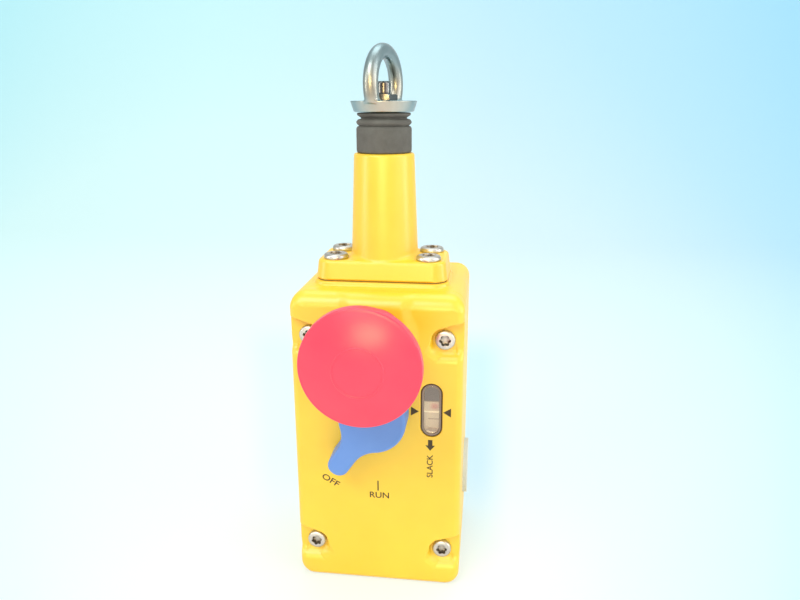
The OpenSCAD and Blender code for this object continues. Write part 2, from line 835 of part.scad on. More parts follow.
cap_edge = 1.2;
cap_spring_d = 4.2;
module estop_cap() {
    r = cap_dia / 2;
    back = rim_y + cap_rim;
    hub = hub_y - rim_y;
    color("red") translate([0, rim_y, estop_z]) rotate([90, 0, 0]) rotate_extrude($fn = 96)
        polygon(concat(
            [[r - 0.5, -cap_rim], [r, -cap_rim + 0.6], [r, -cap_edge], [r - 0.35, -0.35]],
            dome_points(r - cap_edge, cap_dome, 10),
            [[0, -cap_rim - 2], [stem_dia / 2 + fit, -cap_rim - 2],
                [stem_dia / 2 + fit, -hub + cap_spring_d], [spring_room_r, -hub + cap_spring_d],
                [spring_room_r, -hub], [cap_hub_r - 0.6, -hub],
                [cap_hub_r, -hub + 0.6], [cap_hub_r + 0.8, -cap_rim - 3],
                [cap_hub_r + 3, -cap_rim - 1.2], [r - 3, -cap_rim + 0.4], [r - 1.6, -cap_rim]]));
}

// The stem: a round bar with a ball nose that meets the trip lever, and a clip groove
nose_r = 3;
clip_y = bezel_tail_y + 0.1;
module estop_stem() {
    color("silver") difference() {
        union() {
            cyl_y(stem_dia / 2, rim_y + cap_rim + 2 + fit, stem_tip_y - nose_r - 1, 0, estop_z);
            cyl_y(nose_r, stem_tip_y - nose_r - 1 - eps, stem_tip_y - nose_r, 0, estop_z);
            translate([0, stem_tip_y - nose_r, estop_z]) sphere(nose_r);
        }
        translate([0, clip_y + clip_t + 2 * fit, estop_z]) rotate([90, 0, 0])
            flat_ring(stem_dia / 2 - 0.6, stem_dia / 2 + 1, clip_t + 2 * fit);
    }
}

module estop_clip() {
    color("dimgray") translate([0, clip_y + clip_t, estop_z]) rotate([90, 0, 0])
        clip(stem_dia / 2 - 0.55, stem_dia / 2 + 1.8, clip_t - fit);
}

module estop_bezel() {
    color("dimgray") difference() {
        union() {
            cyl_y(bezel_dia / 2, bezel_front_y + 1, pad_y, 0, estop_z);
            translate([0, bezel_front_y + 1 + eps, estop_z]) rotate([90, 0, 0])
                cylinder(r1 = bezel_dia / 2, r2 = bezel_dia / 2 - 1, h = 1 + eps);
            cyl_y(estop_hole / 2 - loose, pad_y - eps, bezel_tail_y, 0, estop_z);
        }
        cyl_y(stem_dia / 2 + fit, bezel_front_y - 1, bezel_tail_y + 1, 0, estop_z);
        cyl_y(spring_room_r, bezel_front_y - 1, spring_floor_y, 0, estop_z);
    }
}

module estop_nut() {
    color("dimgray") difference() {
        translate([0, cover_in_y + nut_t, estop_z]) rotate([90, 0, 0])
            cylinder(r = nut_half / cos(30), h = nut_t, $fn = 6);
        cyl_y(estop_hole / 2, cover_in_y - 1, cover_in_y + nut_t + 1, 0, estop_z);
    }
}

// The return spring, from the bezel's floor to the step inside the cap's hub
module estop_spring() {
    color("silver") translate([0, spring_floor_y, estop_z]) rotate([90, 0, 0])
        spring(estop_wire, 2 * spring_room_r - 4, 3, spring_floor_y - hub_y + cap_spring_d);
}

// ---------- Reset knob and latch ----------

hollow_bite = 0.03;
// Outline of the knob about its axis with the lever pointing down, drawn in by an inset
module knob_plan(inset) {
    r = knob_dia / 2 - inset;
    w = lever_w / 2 - inset;
    f = lever_flare + inset;
    // The hollows bite a little into the body and the lever, so that the outlines cross
    out = w + f - hollow_bite;
    along = sqrt(pow(r + f - hollow_bite, 2) - out * out);
    circle(r);
    translate([-w, -lever_reach]) square([2 * w, lever_reach]);
    translate([0, -lever_reach]) circle(w);
    difference() {
        polygon([[0, 0], [out, -along], [-out, -along]]);
        for (s = [-1, 1]) {
            translate([s * out, -along]) circle(f);
        }
    }
}

// Everything that turns with the knob is drawn at RUN and turned back to OFF
module at_knob() {
    translate([0, 0, knob_z]) rotate([0, reset_angle, 0]) children();
}

module reset_knob() {
    color("dodgerblue") at_knob() difference() {
        union() {
            slab_y(knob_front_y + 1, knob_y) knob_plan(0);
            for (i = [0:3]) {
                slab_y(knob_front_y + 1 - sin(90 * (i + 1) / 4), knob_front_y + 1 + eps)
                    knob_plan(1 - cos(90 * (i + 0.5) / 4));
            }
        }
        cyl_y(shaft_dia / 2 + fit, knob_front_y + 2.5, knob_y + 1, 0, 0);
    }
}

knob_clip_y = cover_in_y + 1.9;
module knob_shaft() {
    color("silver") difference() {
        union() {
            cyl_y(shaft_dia / 2, knob_front_y + 2.5 + fit, crank_y, 0, knob_z);
            cyl_y(3, crank_y - eps, bridge_y + bridge_t + 0.6, 0, knob_z);
        }
        translate([0, knob_clip_y + clip_t + fit, knob_z]) rotate([90, 0, 0])
            flat_ring(shaft_dia / 2 - 0.6, shaft_dia / 2 + 1, clip_t + 2 * fit);
    }
}

module knob_seal() {
    color("dimgray") translate([0, face_y + 1.7, knob_z]) rotate([90, 0, 0])
        flat_ring(shaft_dia / 2 + 0.3, shaft_dia / 2 + 1.9, 1.5);
}

module knob_clip() {
    color("dimgray") translate([0, knob_clip_y + clip_t, knob_z]) rotate([90, 0, 0])
        clip(shaft_dia / 2 - 0.55, shaft_dia / 2 + 1.8, clip_t);
}

// The crank on the shaft's inner end, with the pin that works the latch slide
module crank_disc() {
    color("silver") at_knob() difference() {
        union() {
            cyl_y(5.5, crank_y, crank_y + crank_t - fit, 0, 0);
            slab_y(crank_y, crank_y + crank_t - fit) {
                translate([-3, 0]) square([6, crank_r]);
                translate([0, crank_r]) circle(3);
            }
            cyl_y(crank_pin_r, crank_y + crank_t - 1, slide_y + slide_t - fit, 0, crank_r);
        }
        cyl_y(3 + fit / 2, crank_y - 1, crank_y + crank_t + 1, 0, 0);
    }
}

// The latch slide: the crank's pin runs in its slot, two pins guide it sideways
slide_left = block_x;
slide_pin_x = [slide_left + 4, slide_left + 14];
module latch_slide() {
    pin_x = crank_r * sin(reset_angle);
    low = knob_z + crank_r * cos(reset_angle) - crank_pin_r - 0.3;
    high = knob_z + crank_r + crank_pin_r + 0.3;
    mid = slide_low + slide_h / 2;
    color("silver") difference() {
        union() {
            slab_y(slide_y, slide_y + slide_t) translate([(slide_left + 9) / 2, mid])
                round_rect(9 - slide_left, slide_h, 1.5);
            block([slide_left, slide_y, mid], [slide_left + 4, slide_y + slide_t, mid + 7]);
        }
        slab_y(slide_y - 1, slide_y + slide_t + 1) translate([pin_x, (low + high) / 2])
            slot_shape(2 * crank_pin_r + 0.3, high - low);
        slab_y(slide_y - 1, slide_y + slide_t + 1) for (x = slide_pin_x) {
            translate([x + slide_travel / 2, mid]) rotate(90)
                slot_shape(3.2, 3.2 + slide_travel + 0.6);
        }
    }
}

module slide_pins() {
    mid = slide_low + slide_h / 2;
    color("silver") for (x = slide_pin_x) {
        cyl_y(1.5, slide_y - 0.3, bridge_y, x, mid);
        cyl_y(2.6, slide_y - 1.3, slide_y - 0.3 + eps, x, mid);
    }
}

// ---------- Chassis and trip lever ----------

module chassis() {
    color("lightgray") difference() {
        union() {
            block([-chassis_half, chassis_y, chassis_low],
                [chassis_half, chassis_y + chassis_t, chassis_high]);
            // Ears that carry the trip lever's pin
            both_sides() block([ear_x, pivot_y - 3.5, pivot_z - 5],
                [ear_x + ear_t, chassis_y + eps, pivot_z + 5]);
            // The left cheek and the bridge in front of the carriage
            block([-ear_x - ear_t, bridge_y, slide_low - 10],
                [-ear_x, chassis_y + eps, pivot_z - 5 + eps]);
            block([-ear_x - eps, bridge_y, slide_low - 10],
                [8, bridge_y + bridge_t, slide_low + slide_h + 0.4]);
        }
        cyl_x(pivot_pin_r + fit, -ear_x - ear_t - 1, ear_x + ear_t + 1, pivot_y, pivot_z);
        cyl_y(3 + fit, bridge_y - 1, bridge_y + bridge_t + 1, 0, knob_z);
        for (p = chassis_screw_at) {
            cyl_y(cover_screw_r + loose, chassis_y - 1, chassis_y + chassis_t + 1, p[0], p[1]);
        }
        cyl_y(cover_screw_r + fit, chassis_y - 1, chassis_y + chassis_t + 1,
            earth_at[0], earth_at[1]);
    }
}

module chassis_screws() {
    color("silver") for (p = chassis_screw_at) {
        translate([p[0], chassis_y, p[1]]) rotate([90, 0, 0]) pan_screw(cover_screw_r, 7, 4, 2.2);
    }
}

module earth_screw() {
    color("gold") translate([earth_at[0], chassis_y, earth_at[1]]) rotate([90, 0, 0]) {
        difference() {
            translate([-4.5, -4.5, 0]) cube([9, 9, 1.2]);
            translate([0, 0, -1]) cylinder(r = cover_screw_r + loose, h = 4);
        }
        translate([0, 0, 1.2 + fit]) pan_screw(cover_screw_r, 5, 4, 2.2);
    }
}

module trip_lever() {
    color("silver") difference() {
        union() {
            cyl_x(hub_r, wing_x - wing_half, blade_half, pivot_y, pivot_z);
            block([-blade_half, blade_y, pivot_z], [blade_half, blade_y + blade_t, estop_z + 2.5]);
            block([wing_x - wing_half, blade_y, pivot_z],
                [-blade_half + eps, blade_y + blade_t, stop_plunger_z + 3]);
        }
        cyl_x(pivot_pin_r + fit, wing_x - wing_half - 1, blade_half + 1, pivot_y, pivot_z);
    }
}

module trip_pin() {
    color("silver") {
        cyl_x(pivot_pin_r, -ear_x - ear_t - 1, ear_x + ear_t + 1, pivot_y, pivot_z);
        both_sides() cyl_x(pivot_pin_r + 0.9, ear_x + ear_t, ear_x + ear_t + 1, pivot_y, pivot_z);
    }
}

// ---------- Contact blocks ----------

// Terminal places on a block's front: two columns of two
module at_terminals(z0) {
    for (sx = [-1, 1]) {
        for (row = [0, 1]) {
            translate([block_x + block_w / 2 + sx * terminal_gap, 0,
                z0 + terminal_low + row * terminal_rise]) children();
        }
    }
}

module contact_block(z0) {
    difference() {
        union() {
            block([block_x, block_front_y + block_step_d, z0],
                [block_x + block_w, chassis_y, z0 + block_h]);
            block([block_x, block_front_y, z0 + block_h - block_step_h],
                [block_x + block_w, block_front_y + block_step_d + eps, z0 + block_h]);
        }
        at_terminals(z0) cyl_y(2 * terminal_r + 0.2, block_front_y + block_step_d - 1,
            block_front_y + block_step_d + 3, 0, 0);
        at_terminals(z0) cyl_y(terminal_r + fit, block_front_y + block_step_d + 2,
            block_front_y + block_step_d + 10, 0, 0);
    }
}

module stop_contact_block() {
    color("darkslategray") difference() {
        contact_block(stop_block_z);
        cyl_y(plunger_r + fit, block_front_y - 1, block_front_y + 10, wing_x, stop_plunger_z);
    }
}

module rope_contact_block() {
    color("darkslategray") difference() {
        contact_block(rope_block_z);
        cyl_x(plunger_r + fit, block_x + block_w - 8, block_x + block_w + 1,
            rope_plunger_y, rope_plunger_z);
    }
}

module stop_plunger() {
    tip = blade_y + blade_t + gap;
    color("firebrick") {
        cyl_y(plunger_r, tip + plunger_r, block_front_y + 7, wing_x, stop_plunger_z);
        translate([wing_x, tip + plunger_r, stop_plunger_z]) sphere(plunger_r);
    }
}

module rope_plunger() {
    tip = ramp_top_x - gap;
    color("firebrick") {
        cyl_x(plunger_r, block_x + block_w - 4.5, tip - plunger_r, rope_plunger_y, rope_plunger_z);
        translate([tip - plunger_r, rope_plunger_y, rope_plunger_z]) sphere(plunger_r);
    }
}

module terminal_screws() {
    color("gold") for (z0 = [stop_block_z, rope_block_z]) {
        at_terminals(z0) translate([0, block_front_y + block_step_d + 2, 0])
            rotate([90, 0, 0]) pan_screw(terminal_r, 7, 2 * terminal_r, 1.1 * terminal_r);
    }
}

base_housing();
cover();
cover_gasket();
cover_screws();
tower();
tower_gasket();
tower_screws();
boot();
eye_nut();
rod_lock_nut();
draw_rod();
rod_bush();
tension_spring();
spring_seat();
seat_clip();
carriage();
carriage_nut();
indicator_bar();
window_lens();
window_seal();
estop_cap();
estop_stem();
estop_bezel();
estop_nut();
estop_spring();
estop_clip();
reset_knob();
knob_shaft();
knob_seal();
knob_clip();
crank_disc();
latch_slide();
slide_pins();
chassis();
chassis_screws();
trip_lever();
trip_pin();
stop_contact_block();
rope_contact_block();
stop_plunger();
rope_plunger();
terminal_screws();
earth_screw();
side_plugs();
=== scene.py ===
"""Rope pull switch: the looks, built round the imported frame. All places are in its frame."""

import math
from math import radians

import bmesh
import bpy
import numpy as np
from mathutils import Matrix, Vector
from numpy import clip, hypot, maximum, minimum


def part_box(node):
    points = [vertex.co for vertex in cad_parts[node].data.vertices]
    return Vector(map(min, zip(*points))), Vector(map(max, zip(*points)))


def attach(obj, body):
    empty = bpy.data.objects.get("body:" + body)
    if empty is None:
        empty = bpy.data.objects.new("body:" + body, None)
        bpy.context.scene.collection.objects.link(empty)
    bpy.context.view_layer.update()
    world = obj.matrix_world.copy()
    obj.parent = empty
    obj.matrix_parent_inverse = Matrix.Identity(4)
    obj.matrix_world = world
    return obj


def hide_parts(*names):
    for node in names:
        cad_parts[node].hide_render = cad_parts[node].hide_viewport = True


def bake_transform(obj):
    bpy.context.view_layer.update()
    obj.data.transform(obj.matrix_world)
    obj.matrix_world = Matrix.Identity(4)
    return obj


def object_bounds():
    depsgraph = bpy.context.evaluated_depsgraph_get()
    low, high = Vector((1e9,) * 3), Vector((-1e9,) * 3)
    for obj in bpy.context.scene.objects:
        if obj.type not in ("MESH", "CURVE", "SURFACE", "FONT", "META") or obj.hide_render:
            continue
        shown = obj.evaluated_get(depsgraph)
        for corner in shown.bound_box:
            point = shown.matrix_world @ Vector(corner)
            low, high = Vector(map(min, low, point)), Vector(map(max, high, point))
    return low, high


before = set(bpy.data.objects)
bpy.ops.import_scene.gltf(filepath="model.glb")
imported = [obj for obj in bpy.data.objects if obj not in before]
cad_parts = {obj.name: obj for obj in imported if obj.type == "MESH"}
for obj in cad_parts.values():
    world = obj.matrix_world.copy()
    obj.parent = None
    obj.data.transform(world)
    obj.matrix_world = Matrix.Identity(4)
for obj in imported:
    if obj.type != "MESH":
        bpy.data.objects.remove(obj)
cad_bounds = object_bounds()


# ---------- Camera ----------
# The camera stands a little to the right of the switch and above it, and looks down on it.

MM = 0.001
LENS, SENSOR_WIDTH = 31.118, 36.0
CAMERA_AT = Vector((44.14, -295.64, 211.98)) * MM
CAMERA_DOWN, CAMERA_LEFT, CAMERA_ROLL = radians(16.10), radians(7.24), radians(-0.13)


def put(name, data, material=None):
    """A new object in the scene, at the origin."""
    made = bpy.data.objects.new(name, data)
    bpy.context.scene.collection.objects.link(made)
    if material:
        data.materials.append(material)
    return made


ahead = Vector((
    -math.sin(CAMERA_LEFT) * math.cos(CAMERA_DOWN),
    math.cos(CAMERA_LEFT) * math.cos(CAMERA_DOWN),
    -math.sin(CAMERA_DOWN),
))
right = Vector((math.cos(CAMERA_LEFT), math.sin(CAMERA_LEFT), 0.0))
up = right.cross(ahead)
rolled_right = right * math.cos(CAMERA_ROLL) + up * math.sin(CAMERA_ROLL)
rolled_up = up * math.cos(CAMERA_ROLL) - right * math.sin(CAMERA_ROLL)

camera_data = bpy.data.cameras.new("camera")
camera_data.lens = LENS
camera_data.sensor_width = SENSOR_WIDTH
camera_data.clip_start = 0.01
camera = put("camera", camera_data)
camera.matrix_world = (
    Matrix.Translation(CAMERA_AT)
    @ Matrix((rolled_right, rolled_up, -ahead)).transposed().to_4x4()
)
bpy.context.scene.camera = camera
bpy.context.scene.view_settings.view_transform = "Standard"


# ---------- Floor, backdrop and light ----------
# A pale sheet that lies flat under the switch and curves up behind it, lit by soft boxes.
# The camera sees the sheet's own pale colours; everything else gets plain white light.


def linear(code):
    """A colour written as six hex digits, as linear RGBA."""
    parts = [int(code[i:i + 2], 16) / 255 for i in (0, 2, 4)]
    return (*(p / 12.92 if p <= 0.04045 else ((p + 0.055) / 1.055) ** 2.4 for p in parts), 1.0)


def add(tree, kind, links=None, **settings):
    """Adds a node. links maps an input's name or number to a value, a Term or another node's
    socket, and a colour may be given as six hex digits."""
    made = tree.nodes.new(kind)
    for key, value in settings.items():
        setattr(made, key, value)
    for key, value in (links or {}).items():
        socket = made.inputs[key]
        value = getattr(value, "socket", value)
        if isinstance(value, bpy.types.NodeSocket):
            tree.links.new(value, socket)
        elif socket.type == "RGBA" and isinstance(value, str):
            socket.default_value = linear(value)
        else:
            socket.default_value = value
    return made


class Term:
    """A number in a node tree. Sums on it add Math nodes, so that they read as plain arithmetic."""

    def __init__(self, tree, socket):
        self.tree, self.socket = tree, socket

    def math(self, operation, *others, **settings):
        terms = dict(enumerate((self, *others)))
        made = add(self.tree, "ShaderNodeMath", terms, operation=operation, **settings)
        return Term(self.tree, made.outputs[0])

    def __add__(self, other):
        return self.math("ADD", other)

    def __sub__(self, other):
        return self.math("SUBTRACT", other)

    def __mul__(self, other):
        return self.math("MULTIPLY", other)

    def __truediv__(self, other):
        return self.math("DIVIDE", other)

    def __abs__(self):
        return self.math("ABSOLUTE")

    def ranged(self, start, end, low=0.0, high=1.0, **settings):
        """The stretch from start to end, mapped to low and high and held there."""
        made = add(self.tree, "ShaderNodeMapRange", {
            "Value": self, "From Min": start, "From Max": end, "To Min": low, "To Max": high,
        }, **settings)
        return Term(self.tree, made.outputs["Result"])


def places(tree):
    """The object coordinates, as three Terms in metres."""
    at = add(tree, "ShaderNodeTexCoord").outputs["Object"]
    return [Term(tree, out) for out in add(tree, "ShaderNodeSeparateXYZ", {"Vector": at}).outputs]


def ramp(tree, fac, stops):
    """A colour ramp over fac, from (place, colour) stops."""
    made = add(tree, "ShaderNodeValToRGB", {"Fac": fac})
    elements = made.color_ramp.elements
    while len(elements) < len(stops):
        elements.new(0.5)
    for element, (place, code) in zip(elements, stops):
        element.position = place
        element.color = linear(code)
    return made.outputs["Color"]


def mix(tree, share, first, second):
    """A colour between two others; in the Mix node the colours are inputs 6 and 7."""
    return add(tree, "ShaderNodeMix", {0: share, 6: first, 7: second}, data_type="RGBA").outputs[2]


world = bpy.data.worlds.new("room")
world.use_nodes = True
bpy.context.scene.world = world
room = world.node_tree
room.nodes.clear()
plain = add(room, "ShaderNodeBackground", {"Color": (1.0, 1.0, 1.0, 1.0), "Strength": 0.70})
add(room, "ShaderNodeOutputWorld", {"Surface": plain.outputs["Background"]})

SWEEP_RADIUS, SWEEP_STEPS = 0.35, 12
FLOOR_BACK, FLOOR_FRONT, FLOOR_HALF, BACK_HEIGHT = 0.75, -1.6, 2.2, 1.8
floor_z = cad_bounds[0][2]
profile = [(FLOOR_FRONT, 0.0), (-0.4, 0.0), (0.0, 0.0), (0.4, 0.0)]
for step in range(SWEEP_STEPS + 1):
    turn = radians(90) * step / SWEEP_STEPS
    profile.append((
        FLOOR_BACK + SWEEP_RADIUS * math.sin(turn), SWEEP_RADIUS * (1 - math.cos(turn)),
    ))
profile.append((FLOOR_BACK + SWEEP_RADIUS, BACK_HEIGHT))
points = [(x, y, floor_z + z) for y, z in profile for x in (-FLOOR_HALF, 0.0, FLOOR_HALF)]
quads = [(n, n + 1, n + 4, n + 3) for n in range(len(points) - 4) if n % 3 < 2]
sheet_mesh = bpy.data.meshes.new("backdrop")
sheet_mesh.from_pydata(points, [], quads)
sheet_mesh.polygons.foreach_set("use_smooth", [True] * len(quads))

# The tint deepens with the way up the sheet and to both sides of a line from the camera's stand
STAND_X, STAND_Y = 0.044, -0.296
paper = bpy.data.materials.new("backdrop_paper")
paper.use_nodes = True
tree = paper.node_tree
tree.nodes.clear()
across, along, height = places(tree)
rise = (along + height * 1.2).ranged(-0.15, 2.2)
fan = (across - STAND_X) / (along - STAND_Y).math("MAXIMUM", 0.1) + 0.30
depth = ((rise - 0.05) * 0.91).math("ADD", fan * fan * 0.86, use_clamp=True)
left_and_right = [ramp(tree, depth, [(n / 4, code) for n, code in enumerate(codes)]) for codes in (
    ("f3fcf6", "e5ffff", "dbffff", "c2f8ff", "acefff"),
    ("f9fdf5", "e6fbff", "d8f5ff", "bfecff", "ace6ff"),
)]
side = (fan + 0.10).math("MULTIPLY", 2.5, use_clamp=True)
# Painted shadow: behind the switch, low down, a soft blue shade is painted into the sheet on both
# its sides
near_fan, near_rise = [
    abs(source - middle).ranged(far, near, interpolation_type="SMOOTHSTEP")
    for source, middle, far, near in ((fan, 0.13, 0.23, 0.165), (rise, 0.135, 0.085, 0.035))
]
shaded = near_fan * near_rise * (side * 0.50 + 0.22)
tint = mix(tree, shaded, mix(tree, side, *left_and_right), "c6eeff")
white = add(tree, "ShaderNodeBsdfDiffuse", {"Color": (0.86, 0.86, 0.86, 1.0)})
glow = add(tree, "ShaderNodeEmission", {"Color": tint, "Strength": 1.0})
shade = add(tree, "ShaderNodeBsdfDiffuse", {"Color": tint})
rays = add(tree, "ShaderNodeLightPath").outputs
seen = Term(tree, rays["Is Camera Ray"]).math("MAXIMUM", rays["Is Transmission Ray"])
# What the camera sees is mostly the sheet's own colour; its lit colour adds the shadow
OWN_COLOUR = 0.62
mixed = add(tree, "ShaderNodeMixShader", {
    "Fac": OWN_COLOUR, 1: shade.outputs["BSDF"], 2: glow.outputs["Emission"],
})
both = add(tree, "ShaderNodeMixShader", {
    "Fac": seen, 1: white.outputs["BSDF"], 2: mixed.outputs["Shader"],
})
add(tree, "ShaderNodeOutputMaterial", {"Surface": both.outputs["Shader"]})
backdrop = put("backdrop", sheet_mesh, paper)

# Soft boxes: place, aim, size, power and colour. A sheen lamp shows in gloss alone, a matt one
# never does
for name, at, aim, size, power, colour, kind in (
    ("key", (-0.35, -0.75, 0.95), (0, 0, 0.10), (0.7, 0.5), 6.7, (1.0, 0.985, 0.96), ""),
    ("fill", (0.85, -0.35, 0.55), (0, 0, 0.12), (0.6, 0.8), 3.0, (0.99, 0.97, 1.0), ""),
    ("top", (0.05, 0.25, 1.10), (0, 0, 0.15), (0.8, 0.6), 4.0, (1.0, 1.0, 1.0), ""),
    ("front", (0, -1.25, 0.36), (0, -0.07, 0.12), (0.50, 0.26), 7.0, (1.0, 0.80, 0.36), "sheen"),
    ("face", (0.38, -0.46, 0.28), (0, -0.03, 0.10), (0.2, 0.2), 0.24, (0.92, 1.0, 0.80), "matt"),
    ("strip_left", (-0.92, -0.39, 0.22), (0, 0, 0.16), (0.1, 0.8), 3.0, (1.0, 0.96, 0.9), "sheen"),
    ("strip_right", (1.0, 0.02, 0.22), (0, 0, 0.16), (0.1, 0.8), 3.0, (1.0, 0.95, 0.9), "sheen"),
):
    lamp = bpy.data.lights.new(name, "AREA")
    lamp.shape = "RECTANGLE"
    lamp.size, lamp.size_y = size
    lamp.energy = power
    lamp.color = colour
    box = put(name, lamp)
    box.location = at
    box.rotation_euler = (Vector(aim) - Vector(at)).to_track_quat("-Z", "Y").to_euler()
    box.visible_diffuse = kind != "sheen"
    box.visible_glossy = kind != "matt"


# ---------- Cover ----------
# The front cover is a zinc die casting, powder coated yellow. Four screws hold it to the base,
# and its corner pockets, raised boss and top edge all run into each other with soft fillets.


def join(a, b, r):
    """Distance to two forms joined, with a fillet of radius r between them."""
    return maximum(r, minimum(a, b)) - hypot(maximum(r - a, 0), maximum(r - b, 0))


def meet(a, b, r):
    """Distance to what two forms share, with its edge rounded to r."""
    return -join(-a, -b, r)


def cut(a, b, r):
    """Distance to a with b taken out of it, the edge rounded to r."""
    return -join(-a, b, r)


def drill(a, around, depth):
    """Distance to a with a sharp hole in it, wherever both the other distances are negative."""
    return maximum(a, -maximum(around, depth))


def rect(u, v, half_u, half_v, r):
    """Distance to a rectangle with rounded corners, in two dimensions."""
    du, dv = abs(u) - half_u + r, abs(v) - half_v + r
    return hypot(maximum(du, 0), maximum(dv, 0)) + minimum(maximum(du, dv), 0) - r


def twin(u, v, apart, at):
    """Distance from the nearer of two axes, this far to each side of the middle."""
    return hypot(abs(u) - apart, v - at)


def lines(*spans):
    """Grid lines from (start, step) pairs, ending at the last start."""
    found = []
    for (start, step), (end, _) in zip(spans, spans[1:]):
        count = max(1, round((end - start) / step))
        found.extend(start + (end - start) * i / count for i in range(count))
    return np.array(found + [spans[-1][0]])


def both_ways(*spans):
    """Grid lines that mirror about zero."""
    half = lines(*spans)
    return np.concatenate([-half[:0:-1], half])


CORNERS = [(i, j, k) for i in (0, 1) for j in (0, 1) for k in (0, 1)]
SETTLE_STEPS, SETTLE_REACH, EDGE_REACH, EDGE_GAIN = 4, 0.25, 0.5, 4


def cast_mesh(name, field, xs, ys, zs, material):
    """A mesh of the surface where field(x, y, z) is zero, in millimetres on the given grid lines.
    Each cell that the surface crosses gets one point, which is then moved onto the surface.
    The normals come from the field, and the attribute "edge" is high along outer edges."""
    values = field(*np.meshgrid(xs, ys, zs, indexing="ij"))
    inside = values < 0
    shape = tuple(n - 1 for n in values.shape)
    count = sum(inside[i:i + shape[0], j:j + shape[1], k:k + shape[2]].astype(np.int8)
                for i, j, k in CORNERS)
    cells = np.argwhere((count > 0) & (count < len(CORNERS)))
    index = np.full(shape, -1, np.int64)
    index[tuple(cells.T)] = np.arange(len(cells))

    def spot(at):
        return np.stack([line[at[:, n]] for n, line in enumerate((xs, ys, zs))], 1)

    # Each point starts at the mean of the places where the surface crosses its cell's edges
    total, hits = np.zeros((len(cells), 3)), np.zeros((len(cells), 1))
    for corner, axis in [(c, n) for c in CORNERS for n in range(3) if not c[n]]:
        near = cells + corner
        far = near + np.eye(3, dtype=int)[axis]
        a, b = values[tuple(near.T)], values[tuple(far.T)]
        crossed = ((a < 0) != (b < 0))[:, None]
        share = a[:, None] / np.where(crossed, (a - b)[:, None], 1)
        total += np.where(crossed, spot(near) + (spot(far) - spot(near)) * share, 0)
        hits += crossed
    points = total / hits

    def slope(p, h=0.01):
        steps = h * np.eye(3)
        return np.stack([(field(*(p + d).T) - field(*(p - d).T)) / (2 * h) for d in steps], 1)

    for _ in range(SETTLE_STEPS):
        g = slope(points)
        size = maximum((g * g).sum(1), 0.05)
        move = -g * (field(*points.T) / size)[:, None]
        length = np.linalg.norm(move, axis=1, keepdims=True)
        points += move * minimum(1, SETTLE_REACH / maximum(length, 1e-9))

    # Each grid step that crosses the surface makes a face of the four cells round it
    faces = []
    for axis in range(3):
        u, v = (axis + 1) % 3, (axis + 2) % 3
        change = -np.diff(inside.astype(np.int8), axis=axis)
        at = np.argwhere(change != 0)
        at = at[(at[:, u] > 0) & (at[:, v] > 0) & (at[:, u] < shape[u]) & (at[:, v] < shape[v])]
        ring = []
        for du, dv in ((-1, -1), (0, -1), (0, 0), (-1, 0)):
            c = at.copy()
            c[:, u] += du
            c[:, v] += dv
            ring.append(index[tuple(c.T)])
        quad = np.stack(ring, 1)
        inward = change[tuple(at.T)] < 0
        quad[inward] = quad[inward][:, ::-1]
        faces.append(quad)

    mesh = bpy.data.meshes.new(name)
    mesh.from_pydata((points * MM).tolist(), [], np.concatenate(faces).tolist())
    g = slope(points)
    g /= maximum(np.linalg.norm(g, axis=1, keepdims=True), 1e-9)
    mesh.polygons.foreach_set("use_smooth", np.ones(len(mesh.polygons), bool))
    mesh.normals_split_custom_set_from_vertices(g.tolist())
    steps = EDGE_REACH * np.concatenate([-np.eye(3), np.eye(3)])
    around = sum(field(*(points + step).T) for step in steps) / len(steps)
    edge = clip((around - field(*points.T)) * EDGE_GAIN, 0, 1)
    mesh.attributes.new("edge", "FLOAT", "POINT").data.foreach_set("value", edge)
    return put(name, mesh, material)


def mm_box(node):
    """A CAD node's low and high corners in millimetres."""
    low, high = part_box(node)
    return np.array(low) / MM, np.array(high) / MM


def metres(number):
    """Millimetres as plain metres, for a socket or a matrix."""
    return float(number) * MM


BOSS_PROUD, BOSS_R, BOSS_CLIMB = 1.2, 16.0, 6.5
WALL, COVER_WALL = 3.5, 3.2
CORNER_R, EDGE_R, TOP_EDGE_R, JOINT_R = 6.5, 3.0, 6.5, 0.35
FLARE_HALF, FLARE_GAIN, FLARE_FROM, FLARE_RISE, FLARE_FILLET = 11.0, 4.0, 8.0, 9.5, 4.0
POCKET_R, POCKET_D, POCKET_RISE, POCKET_FADE = 5.4, 3.2, radians(17), 4.5
BLOCK_X, BLOCK_HALF_W, BLOCK_HALF_H, BLOCK_D = 26.0, 7.25, 12.0, 3.5
HEAD_R, HEAD_H = 4.2, 2.2
SCREW_BOSS_R, SCREW_HOLE_R = 5.0, 2.15
STOP_HOLE_R, SHAFT_HOLE_R = 11.15, 4.05
KNOB_SEAT_R, KNOB_SEAT_D = 6.0, 1.8
WINDOW_W, WINDOW_H = 9.2, 24.4
cover_low, cover_high = mm_box("cover")
half_w, body_h, joint_y = cover_high[0], cover_high[2], cover_high[1]
face_y = cover_low[1] + BOSS_PROUD
screws_low, screws_high = mm_box("cover_screws")
screw_x = screws_high[0] - HEAD_R
screw_z = (screws_low[2] + HEAD_R, screws_high[2] - HEAD_R)
cap_low, cap_high = mm_box("estop_cap")
stop_z = (cap_low[2] + cap_high[2]) / 2
shaft_low, shaft_high = mm_box("knob_shaft")
knob_z = (shaft_low[2] + shaft_high[2]) / 2
seal_low, seal_high = mm_box("window_seal")
window_x, window_z = (seal_low[0] + seal_high[0]) / 2, (seal_low[2] + seal_high[2]) / 2


def body_form(x, z, inset=0.0):
    """Distance to the housing's outline from the front, or to one that is this far inside it."""
    return rect(x, z - body_h / 2, half_w - inset, body_h / 2 - inset, CORNER_R - inset)


def slot_form(x, z, w, h):
    """Distance to an upright slot with round ends about the origin."""
    return hypot(x, maximum(abs(z) - (h - w) / 2, 0)) - w / 2


